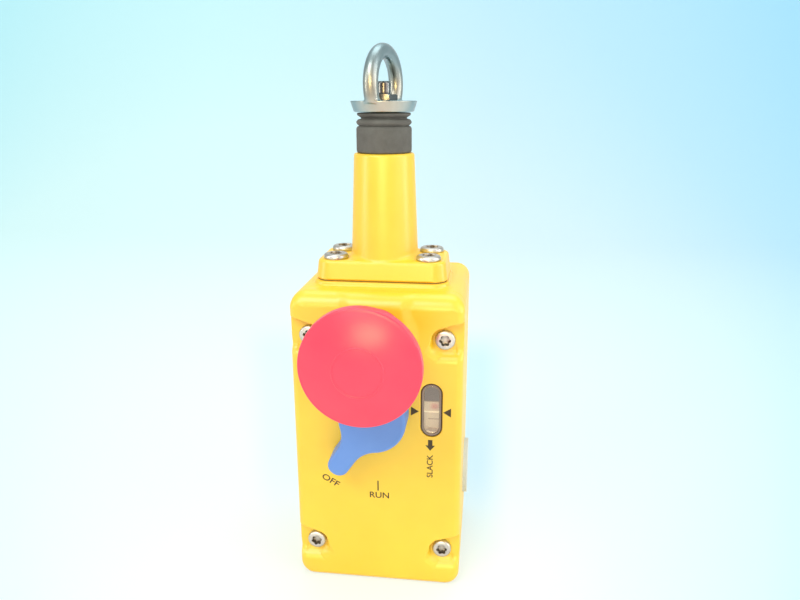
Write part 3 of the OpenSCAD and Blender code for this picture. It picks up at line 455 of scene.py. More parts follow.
def pocket_depth(z):
    """How far a place is down a pocket's lower side, from 0 to 1, where its wall slopes gently."""
    return clip((-z - 0.5) / POCKET_FADE, 0, 1)


def pocket_form(x, y, z):
    """Distance to the open pocket round one cover screw, whose outer side points to +x."""
    out = maximum(
        np.cos(POCKET_RISE) * z - np.sin(POCKET_RISE) * x - POCKET_R,
        maximum(-z - POCKET_R, -x),
    )
    plan = minimum(hypot(x, z) - POCKET_R, out)
    above_floor = face_y + POCKET_D - y
    lean = 0.10 + 0.75 * pocket_depth(z)
    wall = (plan - lean * maximum(above_floor, 0)) / np.sqrt(1 + lean * lean)
    return meet(wall, -above_floor, 0.7 + 0.6 * pocket_depth(z))


def cover_field(x, y, z):
    # The top edge is rounder than the sides, and the radius grows round each top corner
    to_side, to_top = abs(x) - half_w + CORNER_R, z - body_h + CORNER_R
    share = to_top / maximum(hypot(maximum(to_side, 0), to_top), 1e-6)
    edge = EDGE_R + (TOP_EDGE_R - EDGE_R) * np.where(to_top > 0, share, 0)
    # The raised boss round the stop button flares into the top edge
    ring = hypot(x, z - stop_z) - BOSS_R
    flare_half = FLARE_HALF + FLARE_GAIN * clip((z - stop_z - FLARE_FROM) / FLARE_RISE, 0, 1)
    flare = maximum(abs(x) - flare_half, stop_z + 6 - z)
    climb = clip(0.4 - join(ring, flare, FLARE_FILLET) / BOSS_CLIMB, 0, 1)
    boss = BOSS_PROUD * climb * climb * (3 - 2 * climb)
    form = meet(body_form(x, z), face_y - boss - y, edge)
    form = meet(form, y - joint_y, JOINT_R)
    inner = maximum(body_form(x, z, WALL), face_y + COVER_WALL - y)
    for zs in screw_z:
        # A thick corner stands behind each pocket, and a boss meets the base
        block = rect(abs(x) - BLOCK_X, z - zs + 2, BLOCK_HALF_W, BLOCK_HALF_H, 1.0)
        inner = cut(inner, maximum(block, y - face_y - COVER_WALL - BLOCK_D), 0.5)
        inner = cut(inner, twin(x, z, screw_x, zs) - SCREW_BOSS_R, 0.5)
    form = cut(form, inner, 0.4)
    for zs in screw_z:
        pocket = pocket_form(abs(x) - screw_x, y, z - zs)
        form = cut(form, pocket, 0.35 + 1.1 * pocket_depth(z - zs))
        form = maximum(form, SCREW_HOLE_R - twin(x, z, screw_x, zs))
    form = maximum(form, STOP_HOLE_R - hypot(x, z - stop_z))
    shaft = hypot(x, z - knob_z)
    form = maximum(form, SHAFT_HOLE_R - shaft)
    form = cut(form, maximum(shaft - KNOB_SEAT_R, y - face_y - KNOB_SEAT_D), 0.3)
    return cut(form, slot_form(x - window_x, z - window_z, WINDOW_W, WINDOW_H), 0.35)


def new_group(name, kind, given, made):
    """An empty node group: (the group, its inputs, its outputs). Each socket comes with the number
    that it starts at, or with its type if it starts empty."""
    group = bpy.data.node_groups.new(name, kind)
    for side, sockets in (("INPUT", given), ("OUTPUT", made)):
        for label, start in sockets.items():
            word = start if isinstance(start, str) else type(start).__name__.title()
            socket = group.interface.new_socket(label, in_out=side, socket_type="NodeSocket" + word)
            if word is not start:
                socket.default_value = start
    took, gave = group.nodes.new("NodeGroupInput"), group.nodes.new("NodeGroupOutput")
    return group, took.outputs, gave.inputs


def noise(tree, scale, detail, roughness):
    """A noise over the object coordinates."""
    at = add(tree, "ShaderNodeTexCoord").outputs["Object"]
    made = add(tree, "ShaderNodeTexNoise", {
        "Vector": at, "Scale": scale, "Detail": detail, "Roughness": roughness,
    })
    return Term(tree, made.outputs["Fac"])


def edge_wear_group():
    """Wear on outer edges: chips where the edge is sharp and a noise is high, and rubbed paint
    round them. The rubbed mask also serves as a painted highlight along edges."""
    group, took, gave = new_group("edge_wear", "ShaderNodeTree", {
        "Amount": 0.5, "Chip Size": 600.0,
    }, {"Chips": "Float", "Rubbed And Sheen": "Float"})
    edge = Term(group, add(group, "ShaderNodeAttribute", attribute_name="edge").outputs["Fac"])
    broken = noise(group, 90.0, 3.0, 0.5) * noise(group, took["Chip Size"], 4.0, 0.7)
    level = broken.math("MULTIPLY_ADD", 0.55, edge * took["Amount"])
    for label, start, end in (("Chips", 0.60, 0.63), ("Rubbed And Sheen", 0.30, 0.66)):
        group.links.new(level.ranged(start, end).socket, gave[label])
    return group


def grain_group():
    """Surface grain at two scales: a height for bump, and a slow mottle for colour and gloss."""
    group, took, gave = new_group("surface_grain", "ShaderNodeTree", {
        "Grain Scale": 1500.0, "Mottle Scale": 40.0,
    }, {"Height": "Float", "Mottle": "Float"})
    group.links.new(noise(group, took["Grain Scale"], 3.0, 0.55).socket, gave["Height"])
    group.links.new(noise(group, took["Mottle Scale"], 4.0, 0.6).socket, gave["Mottle"])
    return group


EDGE_WEAR_AND_SHEEN, GRAIN = edge_wear_group(), grain_group()


def coat(name, scales, stops, rough, relief=(0.00005, 0.5), more=None):
    """A material with its own Principled shader. The mottle picks its colour from stops and, where
    rough is a pair, its roughness; the grain is its bump, with relief as distance and strength."""
    made = bpy.data.materials.new(name)
    made.use_nodes = True
    tree = made.node_tree
    tree.nodes.clear()
    grain = add(tree, "ShaderNodeGroup", {
        "Grain Scale": scales[0], "Mottle Scale": scales[1],
    }, node_tree=GRAIN).outputs
    given = {"Base Color": ramp(tree, grain["Mottle"], stops), "Roughness": rough}
    if isinstance(rough, tuple):
        given["Roughness"] = Term(tree, grain["Mottle"]).ranged(0.3, 0.7, *rough)
    if relief:
        given["Normal"] = add(tree, "ShaderNodeBump", {
            "Height": grain["Height"], "Distance": relief[0], "Strength": relief[1],
        }).outputs["Normal"]
    shader = add(tree, "ShaderNodeBsdfPrincipled", {**given, **(more or {})})
    add(tree, "ShaderNodeOutputMaterial", {"Surface": shader.outputs["BSDF"]})
    return made


def overlay(material, share, code):
    """Mixes another colour into the material's colour so far, by a mask."""
    tree = material.node_tree
    colour = tree.nodes["Principled BSDF"].inputs["Base Color"]
    tree.links.new(mix(tree, share, colour.links[0].from_socket, code), colour)


def edge_wear(material, amount, chip_size):
    """The outputs of the edge wear and sheen group in a material."""
    return add(material.node_tree, "ShaderNodeGroup", {
        "Amount": amount, "Chip Size": chip_size,
    }, node_tree=EDGE_WEAR_AND_SHEEN).outputs


# Powder coat over zinc: an orange peel, a slow mottle, rubbed edges and small grey chips
YELLOW = coat("yellow_powder_coat", (1100.0, 24.0), ((0.30, "f8c725"), (0.70, "fcd12d")),
              (0.30, 0.42), (0.00006, 0.5), {"Specular IOR Level": 0.85})
wear = edge_wear(YELLOW, 0.42, 700.0)
overlay(YELLOW, wear["Rubbed And Sheen"], "f0b524")
overlay(YELLOW, wear["Chips"], "8b8678")
# A few dark specks where dirt is caught in the paint
tree = YELLOW.node_tree
specks = add(tree, "ShaderNodeTexVoronoi", {
    "Vector": add(tree, "ShaderNodeTexCoord").outputs["Object"], "Scale": 95.0, "Randomness": 1.0,
}).outputs
dots = Term(tree, specks["Distance"]).ranged(0.035, 0.02)
chance = Term(tree, add(tree, "ShaderNodeSeparateColor", {"Color": specks["Color"]}).outputs[0])
overlay(YELLOW, dots * chance.math("GREATER_THAN", 0.82), "6e5a2a")

cover = cast_mesh(
    "cover_casting", cover_field,
    both_ways((0, 1.2), (10, 0.7), (18, 0.42), (half_w + 0.6, 0.42)),
    lines((cover_low[1] - 0.5, 0.45), (face_y + 4.0, 0.6), (joint_y - 1.0, 0.35),
          (joint_y + 0.4, 0.35)),
    lines((-0.6, 0.45), (6, 0.5), (30, 1.0), (70, 0.5), (102, 0.5), (body_h + 0.6, 0.5)), YELLOW,
)
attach(cover, "housing")
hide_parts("cover")


# ---------- Base housing ----------
# The rear casting, powder coated as the cover is. It carries the tower on a raised pad and takes
# the cable entries; bosses inside it hold the screws.

_, rear_y, pad_top = mm_box("base_housing")[1]
REAR_WALL, REAR_EDGE_R = 4.0, 3.0
PAD_W, PAD_D, PAD_R = 58.6, 33.6, 7.0
ENTRY_R, ENTRY_WALL, ENTRY_D, NECK_BORE_R = 9.25, 3.75, 12.0, 8.6
SIDE_ENTRY_Y, SIDE_ENTRY_Z, SIDE_ENTRY_WALL, SIDE_ENTRY_X = 12.0, 39.0, 3.5, 20.0
TOWER_SCREW_X, TOWER_SCREW_Y = 20.0, 8.9
TOWER_BOSS_D, TOWER_PILOT_R, TOWER_PILOT_D = 12.0, 2.55, 10.0
COVER_BOSS_D, COVER_PILOT_R, COVER_PILOT_D = 23.5, 2.05, 16.0
MOUNT_X, MOUNT_LOW, MOUNT_RISE = 20.0, 18.0, 100.0
MOUNT_BOSS_R, MOUNT_BOSS_D, MOUNT_HOLE_R, MOUNT_HOLE_D = 5.5, 12.0, 2.5, 10.0


def base_field(x, y, z):
    form = meet(body_form(x, z), y - rear_y, REAR_EDGE_R)
    form = meet(form, joint_y - y, JOINT_R)
    pad = rect(x, y, PAD_W / 2, PAD_D / 2, PAD_R)
    form = join(form, meet(pad, maximum(z - pad_top, body_h - 4 - z), 0.9), 1.0)
    entry, side = hypot(x, y), hypot(y - SIDE_ENTRY_Y, z - SIDE_ENTRY_Z)
    tower_bolt = hypot(abs(x) - TOWER_SCREW_X, abs(y) - TOWER_SCREW_Y)
    cover_bolts = [twin(x, z, screw_x, zs) for zs in screw_z]
    mounts = [twin(x, z, MOUNT_X, zm) for zm in (MOUNT_LOW, MOUNT_LOW + MOUNT_RISE)]
    # Inside, a boss stands round every hole
    inner = maximum(body_form(x, z, WALL), y - rear_y + REAR_WALL)
    for around, depth in (
        *((bolt - SCREW_BOSS_R, y - joint_y - COVER_BOSS_D) for bolt in cover_bolts),
        (tower_bolt - SCREW_BOSS_R, pad_top - TOWER_BOSS_D - z),
        (entry - ENTRY_R - ENTRY_WALL, z - 8),
        (side - ENTRY_R - SIDE_ENTRY_WALL, half_w - WALL - 4 - abs(x)),
        *((mount - MOUNT_BOSS_R, rear_y - MOUNT_BOSS_D - y) for mount in mounts),
    ):
        inner = cut(inner, maximum(around, depth), 0.5)
    form = cut(form, inner, 0.4)
    for around, depth in (
        (entry - ENTRY_R, z - ENTRY_D),
        (side - ENTRY_R, SIDE_ENTRY_X - abs(x)),
        (entry - NECK_BORE_R, 120 - z),
        *((mount - MOUNT_HOLE_R, rear_y - MOUNT_HOLE_D - y) for mount in mounts),
        *((bolt - COVER_PILOT_R, y - joint_y - COVER_PILOT_D) for bolt in cover_bolts),
        (tower_bolt - TOWER_PILOT_R, pad_top - TOWER_PILOT_D - z),
    ):
        form = drill(form, around, depth)
    return form


base = cast_mesh(
    "base_casting", base_field,
    both_ways((0, 2.0), (26, 0.7), (half_w + 0.8, 0.7)),
    lines((joint_y - 0.6, 0.4), (joint_y + 3, 1.9), (31, 0.6), (rear_y + 0.8, 0.6)),
    lines((-0.8, 0.6), (9, 1.6), (28, 1.1), (50, 2.2), (126, 0.6), (pad_top + 0.8, 0.45)), YELLOW,
)
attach(base, "housing")
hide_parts("base_housing")


# ---------- Tower ----------
# The round, tapered column that houses the tension spring: a casting on a flange, with four screws
# round its foot, powder coated with the housing.

tower_low, tower_high = mm_box("tower")
flange_z, neck_top = tower_low[2], tower_high[2]
boot_low, boot_high = mm_box("boot")
column_z = boot_low[2]
FLANGE_W, FLANGE_D, FLANGE_H, FLANGE_R, FLANGE_DRAFT = 57.0, 32.4, 8.4, 7.0, 0.13
COLUMN_FOOT, COLUMN_TOP, TOWER_HEAD_R, TOWER_HEAD_H = 29.1, 25.6, 5.3, 2.1
NECK_R, BEAD_R, BEAD_HALF, TOWER_HOLE_R, SEAT_ROOM = 8.5, 9.1, 1.3, 2.65, 0.4
ROD_BORE_R, BUSH_BORE_R, SPRING_ROOM, BUSH_D = 4.5, 6.0, 16.0, 14.0
flange_top = flange_z + FLANGE_H


def tower_field(x, y, z):
    draft = FLANGE_DRAFT * minimum(z - flange_z, FLANGE_H)
    plan = rect(x, y, FLANGE_W / 2, FLANGE_D / 2, FLANGE_R) + draft
    flange = meet(plan, z - flange_top, 1.3)
    climb = clip((z - flange_top) / (column_z - flange_top), -0.2, 1.1)
    half = (COLUMN_FOOT + (COLUMN_TOP - COLUMN_FOOT) * climb) / 2
    radius = hypot(x, y)
    column = meet(radius - half, z - column_z, 1.1)
    form = join(flange, column, 0.8 + 1.8 * clip((abs(x) - 5) / 8, 0, 1))
    # The fillet never stands out over the flange's own sides
    form = maximum(form, plan)
    neck = maximum(radius - NECK_R, z - neck_top)
    bead_side = radius - BEAD_R + 0.5 * clip(z - neck_top + 1.8, 0, 2)
    bead = maximum(bead_side, abs(z - neck_top + BEAD_HALF) - BEAD_HALF)
    form = maximum(minimum(form, minimum(neck, bead)), flange_z - z)
    bolt = hypot(abs(x) - TOWER_SCREW_X, abs(y) - TOWER_SCREW_Y)
    # A flat seat is milled for each screw's head
    form = cut(form, maximum(bolt - TOWER_HEAD_R - SEAT_ROOM, flange_top - z), 0.3)
    form = maximum(form, TOWER_HOLE_R - bolt)
    form = drill(form, radius - NECK_BORE_R, z - neck_top + SPRING_ROOM)
    form = maximum(form, ROD_BORE_R - radius)
    return drill(form, radius - BUSH_BORE_R, neck_top - BUSH_D - z)


tower = cast_mesh(
    "tower_casting", tower_field,
    both_ways((0, 0.6), (29.2, 0.6)),
    both_ways((0, 0.6), (17.4, 0.6)),
    lines((flange_z - 0.5, 0.5), (flange_top + 4, 1.2), (column_z - 2, 0.5), (neck_top + 0.5, 0.5)),
    YELLOW,
)
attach(tower, "housing")
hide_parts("tower")


# ---------- Rubber boot ----------
# A moulded nitrile bellows: its collar grips the tower's neck and two folds reach up to the disc,
# so it stretches as the rod is drawn out.


def soft_profile(corners, steps=5):
    """Points of a closed outline from (radius, height, fillet) corners, each corner rounded."""
    found = []
    for before, here, after in zip(corners[-1:] + corners[:-1], corners, corners[1:] + corners[:1]):
        p, a, b = (np.array(c[:2], float) for c in (here, before, after))
        to_a, to_b = a - p, b - p
        size_a, size_b = np.linalg.norm(to_a), np.linalg.norm(to_b)
        angle = math.acos(max(-1, min(1, float(to_a @ to_b) / (size_a * size_b))))
        reach = min(here[2] / max(math.tan(angle / 2), 1e-6), size_a * 0.49, size_b * 0.49)
        if reach < 1e-4:
            found.append(tuple(p))
            continue
        start, end = p + to_a / size_a * reach, p + to_b / size_b * reach
        for i in range(steps + 1):
            t = i / steps
            found.append(tuple(start * (1 - t) ** 2 + p * 2 * t * (1 - t) + end * t * t))
    return found


def finish_mesh(name, build, crease=38.0, material=None):
    """Turns a bmesh in millimetres into an object, its normals outwards and its creases sharp."""
    bmesh.ops.remove_doubles(build, verts=build.verts, dist=1e-4)
    bmesh.ops.recalc_face_normals(build, faces=build.faces)
    mesh = bpy.data.meshes.new(name)
    build.to_mesh(mesh)
    build.free()
    mesh.transform(Matrix.Scale(MM, 4))
    mesh.polygons.foreach_set("use_smooth", np.ones(len(mesh.polygons), bool))
    mesh.set_sharp_from_angle(angle=radians(crease))
    return put(name, mesh, material)


def turned(name, outline, material, sides, crease, centre=(0, 0, 0), towards="z", shape=None):
    """A closed outline of (radius, height) turned about an axis; towards is z or -y.
    shape(radius, height, angle) may move a point to another radius and height."""
    build = bmesh.new()
    rings = []
    for r, h in outline:
        ring = []
        for i in range(sides if r > 1e-6 else 1):
            angle = 2 * math.pi * i / sides
            rr, hh = shape(r, h, angle) if shape else (r, h)
            u, v = rr * math.cos(angle), rr * math.sin(angle)
            at = (u, v, hh) if towards == "z" else (u, -hh, v)
            ring.append(build.verts.new(np.add(at, centre)))
        rings.append(ring)
    for one, two in zip(rings, rings[1:] + rings[:1]):
        if len(one) == 1 and len(two) == 1:
            continue
        for i in range(sides):
            j = (i + 1) % sides
            corner = [one[i % len(one)], one[j % len(one)], two[j % len(two)], two[i % len(two)]]
            build.faces.new([c for n, c in enumerate(corner) if c not in corner[:n]])
    return finish_mesh(name, build, crease, material)


# Black moulded rubber: matt, finely grained, with a little pale dust on it
RUBBER = coat("black_rubber", (2600.0, 120.0), ((0.30, "57564f"), (0.72, "696962")), 0.72,
              (0.00005, 0.6), {"Specular IOR Level": 0.35})
rib_top = boot_high[2] - column_z
boot = turned("bellows_boot", [(r, column_z + h) for r, h in soft_profile([
    (9.25, 0.0, 0.2), (11.65, 0.0, 1.2), (11.65, 9.9, 0.8), (11.2, 10.75, 0.7),
    (10.35, 10.95, 0.35), (10.9, 11.35, 0.5), (11.8, 12.35, 1.0), (11.0, 13.55, 0.8),
    (9.2, 14.05, 0.35), (11.1, 15.25, 0.7), (11.35, rib_top - 0.35, 0.4), (10.9, rib_top, 0.15),
    (6.3, rib_top, 0.2), (6.3, rib_top - 0.9, 0.2), (8.1, 14.2, 0.4), (9.7, 12.4, 0.6),
    (9.3, 10.8, 0.4), (9.25, 8.0, 0.3),
])], RUBBER, sides=128, crease=50)
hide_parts("boot")
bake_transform(boot)


# ---------- Rope eye, lock nut and draw rod ----------
# A forged ring on a disc, screwed on the rod's thread and held by a thin nut, all zinc plated.
# The rod runs down through the tower to the carriage.

eye_low, eye_high = mm_box("eye_nut")
nut_low, nut_high = mm_box("rod_lock_nut")
rod_low, rod_high = mm_box("draw_rod")
disc_z, disc_top = eye_low[2], nut_low[2]
EYE_R, EYE_BAR, EYE_TURN = 13.1, 3.05, radians(75)
ring_z = eye_high[2] - EYE_R - EYE_BAR
DISC_R, DISC_FOOT_R = 14.0, 12.5
EYE_BORE_R = 2.95


def eye_field(x, y, z):
    climb = (z - disc_z) / (disc_top - disc_z)
    radius = hypot(x, y)
    side = (radius - DISC_FOOT_R - (DISC_R - DISC_FOOT_R) * climb) * 0.95
    disc = meet(meet(side, z - disc_top, 0.4), disc_z - z, 0.5)
    along = x * math.cos(EYE_TURN) + y * math.sin(EYE_TURN)
    across = y * math.cos(EYE_TURN) - x * math.sin(EYE_TURN)
    ring = hypot(hypot(along, z - ring_z) - EYE_R, across) - EYE_BAR
    ring = maximum(ring, disc_top - 0.8 - z)
    return drill(join(disc, ring, 0.9), radius - EYE_BORE_R, z - disc_top - 2)


def metal(name, light, dark, rough, relief=0.5, painted_rim=None):
    """Plated or bare metal: a slightly uneven grey or yellow with a fine grain. Where painted_rim
    is given, a painted reflection turns its colour to painted_rim where the surface leans away."""
    made = coat(name, (1800.0, 70.0), ((0.32, dark), (0.68, light)), (rough - 0.06, rough + 0.08),
                (0.00004, relief), {"Metallic": 1.0})
    if painted_rim:
        tree = made.node_tree
        lean = Term(tree, add(tree, "ShaderNodeLayerWeight", {"Blend": 0.5}).outputs["Facing"])
        overlay(made, lean.math("MULTIPLY", 1.7, use_clamp=True), painted_rim)
    return made


# The plating takes a cool painted reflection where it leans away
EYE_ZINC = metal("eye_plating", "cdc5b4", "b4ab98", 0.34, painted_rim="8fb0b6")
# Painted shade and painted reflection: the ring is painted a little darker than its disc, and its
# upper half takes a cool painted sky reflection
height = places(EYE_ZINC.node_tree)[2]
for start, end, share, code in (
    (disc_top, disc_top + 2, 0.45, "7f7868"), (ring_z, ring_z + 9, 0.55, "80a2ac"),
):
    overlay(EYE_ZINC, height.ranged(metres(start), metres(end), high=share), code)
eye = cast_mesh(
    "rope_eye", eye_field,
    both_ways((0, 0.42), (14.6, 0.42)), both_ways((0, 0.42), (16.4, 0.42)),
    lines((disc_z - 0.4, 0.35), (disc_top + 1.2, 0.42), (eye_high[2] + 0.5, 0.42)), EYE_ZINC,
)
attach(eye, "pull_rod")
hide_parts("eye_nut")

HEX_R = 5.0


def nut_shape(r, h, angle):
    # The corners are chamfered: a cone cuts the hexagon near both ends
    if r < HEX_R - 0.5:
        return r, h
    end = min(h - nut_low[2], nut_high[2] - h)
    flat = HEX_R / math.cos((angle % (math.pi / 3)) - math.pi / 6)
    return min(flat, HEX_R + 0.25 + 1.6 * end), h


# Painted reflection: the rod and nut turn dark teal where they lean away
BRIGHT = metal("bright_zinc", "8f857c", "6c635c", 0.20, painted_rim="5c7478")
nut_rows = [nut_low[2] + d for d in (0, 0.15, 0.35)] + [nut_high[2] - d for d in (0.35, 0.15, 0)]
lock_nut = turned("lock_nut", [
    (3.0, nut_low[2]), *((HEX_R, h) for h in nut_rows), (3.3, nut_high[2]),
    (3.0, nut_high[2] - 0.3),
], BRIGHT, sides=96, crease=22, shape=nut_shape)
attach(lock_nut, "pull_rod")
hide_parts("rod_lock_nut")

ROD_R, THREAD_R, THREAD_PITCH, THREAD_DEPTH, THREAD_STEP, END_R = 4.0, 2.9, 1.0, 0.55, 0.11, 1.1
CHAMFER, GROOVE_D, GROOVE_W = 0.6, 0.6, 1.1


def rod_shape(r, h, angle):
    if r < 0.5 or h <= disc_z:
        return r, h
    wave = (h / THREAD_PITCH - angle / (2 * math.pi)) % 1.0
    crest = min(1.0, max(0.0, 1.35 * (1 - abs(2 * wave - 1)) - 0.1))
    # The thread ends at the nut; the plain end above it is rounded
    groove = THREAD_DEPTH * (1 - crest) * min(1.0, max(0.0, (nut_high[2] + 0.6 - h) / 0.6))
    bow = END_R - min(rod_high[2] - h, END_R)
    return r - groove - END_R + math.sqrt(END_R ** 2 - bow ** 2), h


groove_z = mm_box("spring_seat")[0][2] - 1.05
count = round((rod_high[2] - disc_z) / THREAD_STEP)
rod = turned("draw_rod_threaded", [
    (0.0, rod_low[2]), (ROD_R - CHAMFER, rod_low[2]), (ROD_R, rod_low[2] + CHAMFER),
    (ROD_R, groove_z), (ROD_R - GROOVE_D, groove_z), (ROD_R - GROOVE_D, groove_z + GROOVE_W),
    (ROD_R, groove_z + GROOVE_W), (ROD_R, disc_z - 0.4), (ROD_R - 0.4, disc_z),
    *((THREAD_R, disc_z + (rod_high[2] - disc_z) * (i + 1) / count) for i in range(count)),
    (0.0, rod_high[2]),
], BRIGHT, sides=64, crease=40, shape=rod_shape)
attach(rod, "pull_rod")
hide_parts("draw_rod")


# ---------- Springs ----------
# Music wire wound into compression springs with closed ends: one holds the rod against the rope's
# pull, the other lifts the stop button. Each stretches between the two pieces that it pushes.


def polar(radius, angle, height):
    """The point at a radius, an angle and a height about Z, from Terms."""
    return add(radius.tree, "ShaderNodeCombineXYZ", {
        "X": radius * angle.math("COSINE"), "Y": radius * angle.math("SINE"), "Z": height,
    }).outputs[0]


def then(tree, geometry, kind, links=None, **settings):
    """Adds a node that takes geometry first, and gives what comes out of it first."""
    return add(tree, kind, {0: geometry, **(links or {})}, **settings).outputs[0]


def spring_tree():
    """Winds a wire along Z: a closed turn at each end and an even pitch between them."""
    tree, took, gave = new_group("wound_spring", "GeometryNodeTree", {
        "Wire": 0.001, "Mean Diameter": 0.012, "Length": 0.03, "Turns": 6, "Finish": "Material",
    }, {"Spring": "Geometry"})
    wire, across, length, turns = [
        Term(tree, took[label]) for label in ("Wire", "Mean Diameter", "Length", "Turns")
    ]
    per_turn = 28
    wound = add(tree, "GeometryNodeMeshLine", {"Count": (turns + 2) * per_turn + 1}, mode="OFFSET")
    turn = Term(tree, tree.nodes.new("GeometryNodeInputIndex").outputs[0]) / per_turn
    middle = (turn - 1).math("MAXIMUM", 0).math("MINIMUM", turns)
    pitch = (length - wire * 3) / turns
    height = middle * pitch + (turn - middle) * wire + wire / 2
    path = then(tree, wound.outputs["Mesh"], "GeometryNodeSetPosition", {
        "Position": polar(across / 2, turn * (2 * math.pi), height),
    })
    section = add(tree, "GeometryNodeCurvePrimitiveCircle", {"Resolution": 10, "Radius": wire / 2})
    tube = then(tree, then(tree, path, "GeometryNodeMeshToCurve"), "GeometryNodeCurveToMesh", {
        "Profile Curve": section.outputs["Curve"], "Fill Caps": True,
    })
    real = then(tree, tube, "GeometryNodeRealizeInstances")
    smooth = then(tree, real, "GeometryNodeSetShadeSmooth")
    tree.links.new(
        then(tree, smooth, "GeometryNodeSetMaterial", {"Material": took["Finish"]}), gave["Spring"])
    return tree


def solved_mesh(holder):
    """A plain copy of the mesh that an object comes to."""
    solved = holder.evaluated_get(bpy.context.evaluated_depsgraph_get())
    return bpy.data.meshes.new_from_object(solved)


def grown(name, tree, settings, points=((0, 0, 0),)):
    """The plain mesh that a geometry tree makes from a few points, with its named inputs set."""
    seed = bpy.data.meshes.new(name)
    seed.from_pydata([tuple(np.array(p) * MM) for p in points], [], [])
    made = put(name, seed)
    modifier = made.modifiers.new("grown", "NODES")
    modifier.node_group = tree
    for item in tree.interface.items_tree:
        if item.name in settings:
            modifier[item.identifier] = settings[item.name]
    mesh = solved_mesh(made)
    made.modifiers.clear()
    mesh.materials.clear()
    mesh.materials.append(settings["Finish"])
    mesh.polygons.foreach_set("material_index", np.zeros(len(mesh.polygons), np.int32))
    made.data = mesh
    mesh.name = name
    return made


SPRING_TREE = spring_tree()
SPRING_STEEL = metal("spring_wire", "8f9193", "6c6e70", 0.30, 0.3)
spring_low, spring_high = mm_box("tension_spring")
tension = grown("rope_tension_spring", SPRING_TREE, {
    "Wire": 1.8 * MM, "Mean Diameter": 12.8 * MM, "Turns": 7, "Finish": SPRING_STEEL,
    "Length": metres(spring_high[2] - spring_low[2]),
})
tension.data.transform(Matrix.Translation((0, 0, metres(spring_low[2]))))
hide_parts("tension_spring")
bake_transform(tension)

return_low, return_high = mm_box("estop_spring")
lift = grown("button_return_spring", SPRING_TREE, {
    "Wire": 1.2 * MM, "Mean Diameter": 13.2 * MM, "Turns": 3, "Finish": SPRING_STEEL,
    "Length": metres(return_high[1] - return_low[1]),
})
upright = Matrix.Translation((0, metres(return_high[1]), metres(stop_z)))
lift.data.transform(upright @ Matrix.Rotation(radians(90), 4, "X"))
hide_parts("estop_spring")
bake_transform(lift)


# ---------- Stop button ----------
# A red mushroom cap moulded in one piece: a crowned top with a raised ring, a thick rim and a hub
# that is pressed on the stem. Its top is spark eroded to a soft satin.

CAP_RIM, CAP_DOME, CAP_EDGE = 4.6, 4.5, 1.2
CAP_RING_R, CAP_RING_HALF, CAP_RING_PROUD = 9.4, 0.42, 0.20
HUB_R, HUB_BORE_R, STEM_BORE_R = 12.4, 8.6, 4.05
CAP_R = (cap_high[0] - cap_low[0]) / 2
rim_y = cap_low[1] + CAP_DOME
hub_depth = cap_high[1] - rim_y
ball = ((CAP_R - CAP_EDGE) ** 2 + CAP_DOME ** 2) / (2 * CAP_DOME)


def dome_height(r):
    """Height of the crown over the rim, with the raised ring."""
    crown = math.sqrt(ball * ball - r * r) - ball + CAP_DOME
    return crown + CAP_RING_PROUD * max(0.0, 1 - ((r - CAP_RING_R) / CAP_RING_HALF) ** 2) ** 0.5


CROWN_STEPS, RING_STEPS = 60, (-1, -0.85, -0.55, -0.2, 0.2, 0.55, 0.85, 1)
radii = [(CAP_R - CAP_EDGE) * i / CROWN_STEPS for i in range(CROWN_STEPS)]
radii += [CAP_RING_R + CAP_RING_HALF * d for d in RING_STEPS]
cap_outline = [(r, dome_height(r)) for r in sorted(radii)] + soft_profile([
    (CAP_R - CAP_EDGE, 0.0, 0.0), (CAP_R - 0.15, -0.25, 0.9), (CAP_R, -CAP_RIM + 0.9, 0.4),
    (CAP_R - 0.5, -CAP_RIM, 0.3), (CAP_R - 2.2, -CAP_RIM, 0.3), (CAP_R - 3.0, -CAP_RIM + 0.6, 0.3),
    (16.2, -CAP_RIM - 1.0, 1.0), (13.8, -CAP_RIM - 3.2, 1.5), (HUB_R + 0.6, -hub_depth + 0.6, 0.3),
    (HUB_R, -hub_depth, 0.3), (HUB_BORE_R, -hub_depth, 0.2), (HUB_BORE_R, -hub_depth + 4.2, 0.2),
    (STEM_BORE_R, -hub_depth + 4.2, 0.2), (STEM_BORE_R, -CAP_RIM - 2.0, 0.2),
    (0.0, -CAP_RIM - 2.0, 0.0),
])
# Moulded red plastic: satin, finely textured, a little uneven in gloss
RED = coat("red_moulding", (2100.0, 30.0), ((0.32, "ee3d57"), (0.70, "f4465c")), (0.28, 0.36),
           more={"Subsurface Weight": 0.06, "Subsurface Scale": 0.002})
cap = turned("mushroom_cap", cap_outline, RED, 144, 30, (0, rim_y, stop_z), "-y")
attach(cap, "stop_button")
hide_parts("estop_cap")


# ---------- Reset knob ----------
# A blue moulded knob with a rounded lever, pressed on its shaft. It stands at OFF here and is
# turned to RUN by hand to latch the switch.

knob_low, knob_high = mm_box("reset_knob")
KNOB_R, LEVER_REACH, LEVER_HALF, FLARE_R = 14.0, 25.6, 4.6, 12.0
RESET_TURN = radians(34.5)
along = math.sqrt((KNOB_R + FLARE_R) ** 2 - (LEVER_HALF + FLARE_R) ** 2)


def knob_field(x, y, z):
    z = z - knob_z
    px = x * math.cos(RESET_TURN) - z * math.sin(RESET_TURN)
    pz = x * math.sin(RESET_TURN) + z * math.cos(RESET_TURN)
    side, radius = abs(px), hypot(px, pz)
    lever = hypot(px, maximum(maximum(-pz - LEVER_REACH, pz), 0)) - LEVER_HALF
    # The web between body and lever, hollowed by a circle on each side
    reach = LEVER_HALF + FLARE_R
    web = maximum((side * along + pz * reach) / math.hypot(along, reach), -pz - along)
    web = maximum(web, FLARE_R - hypot(side - reach, pz + along))
    plan = minimum(minimum(radius - KNOB_R, lever), web)
    # The top is dished very slightly along the lever
    top = knob_low[1] + 0.35 * np.exp(-(px / 3.2) ** 2) * clip((-pz - 6) / 10, 0, 1) - y
    form = meet(meet(plan, top, 1.5), y - knob_high[1], 0.4)
    return drill(form, radius - SHAFT_HOLE_R, knob_low[1] + 2.5 - y)
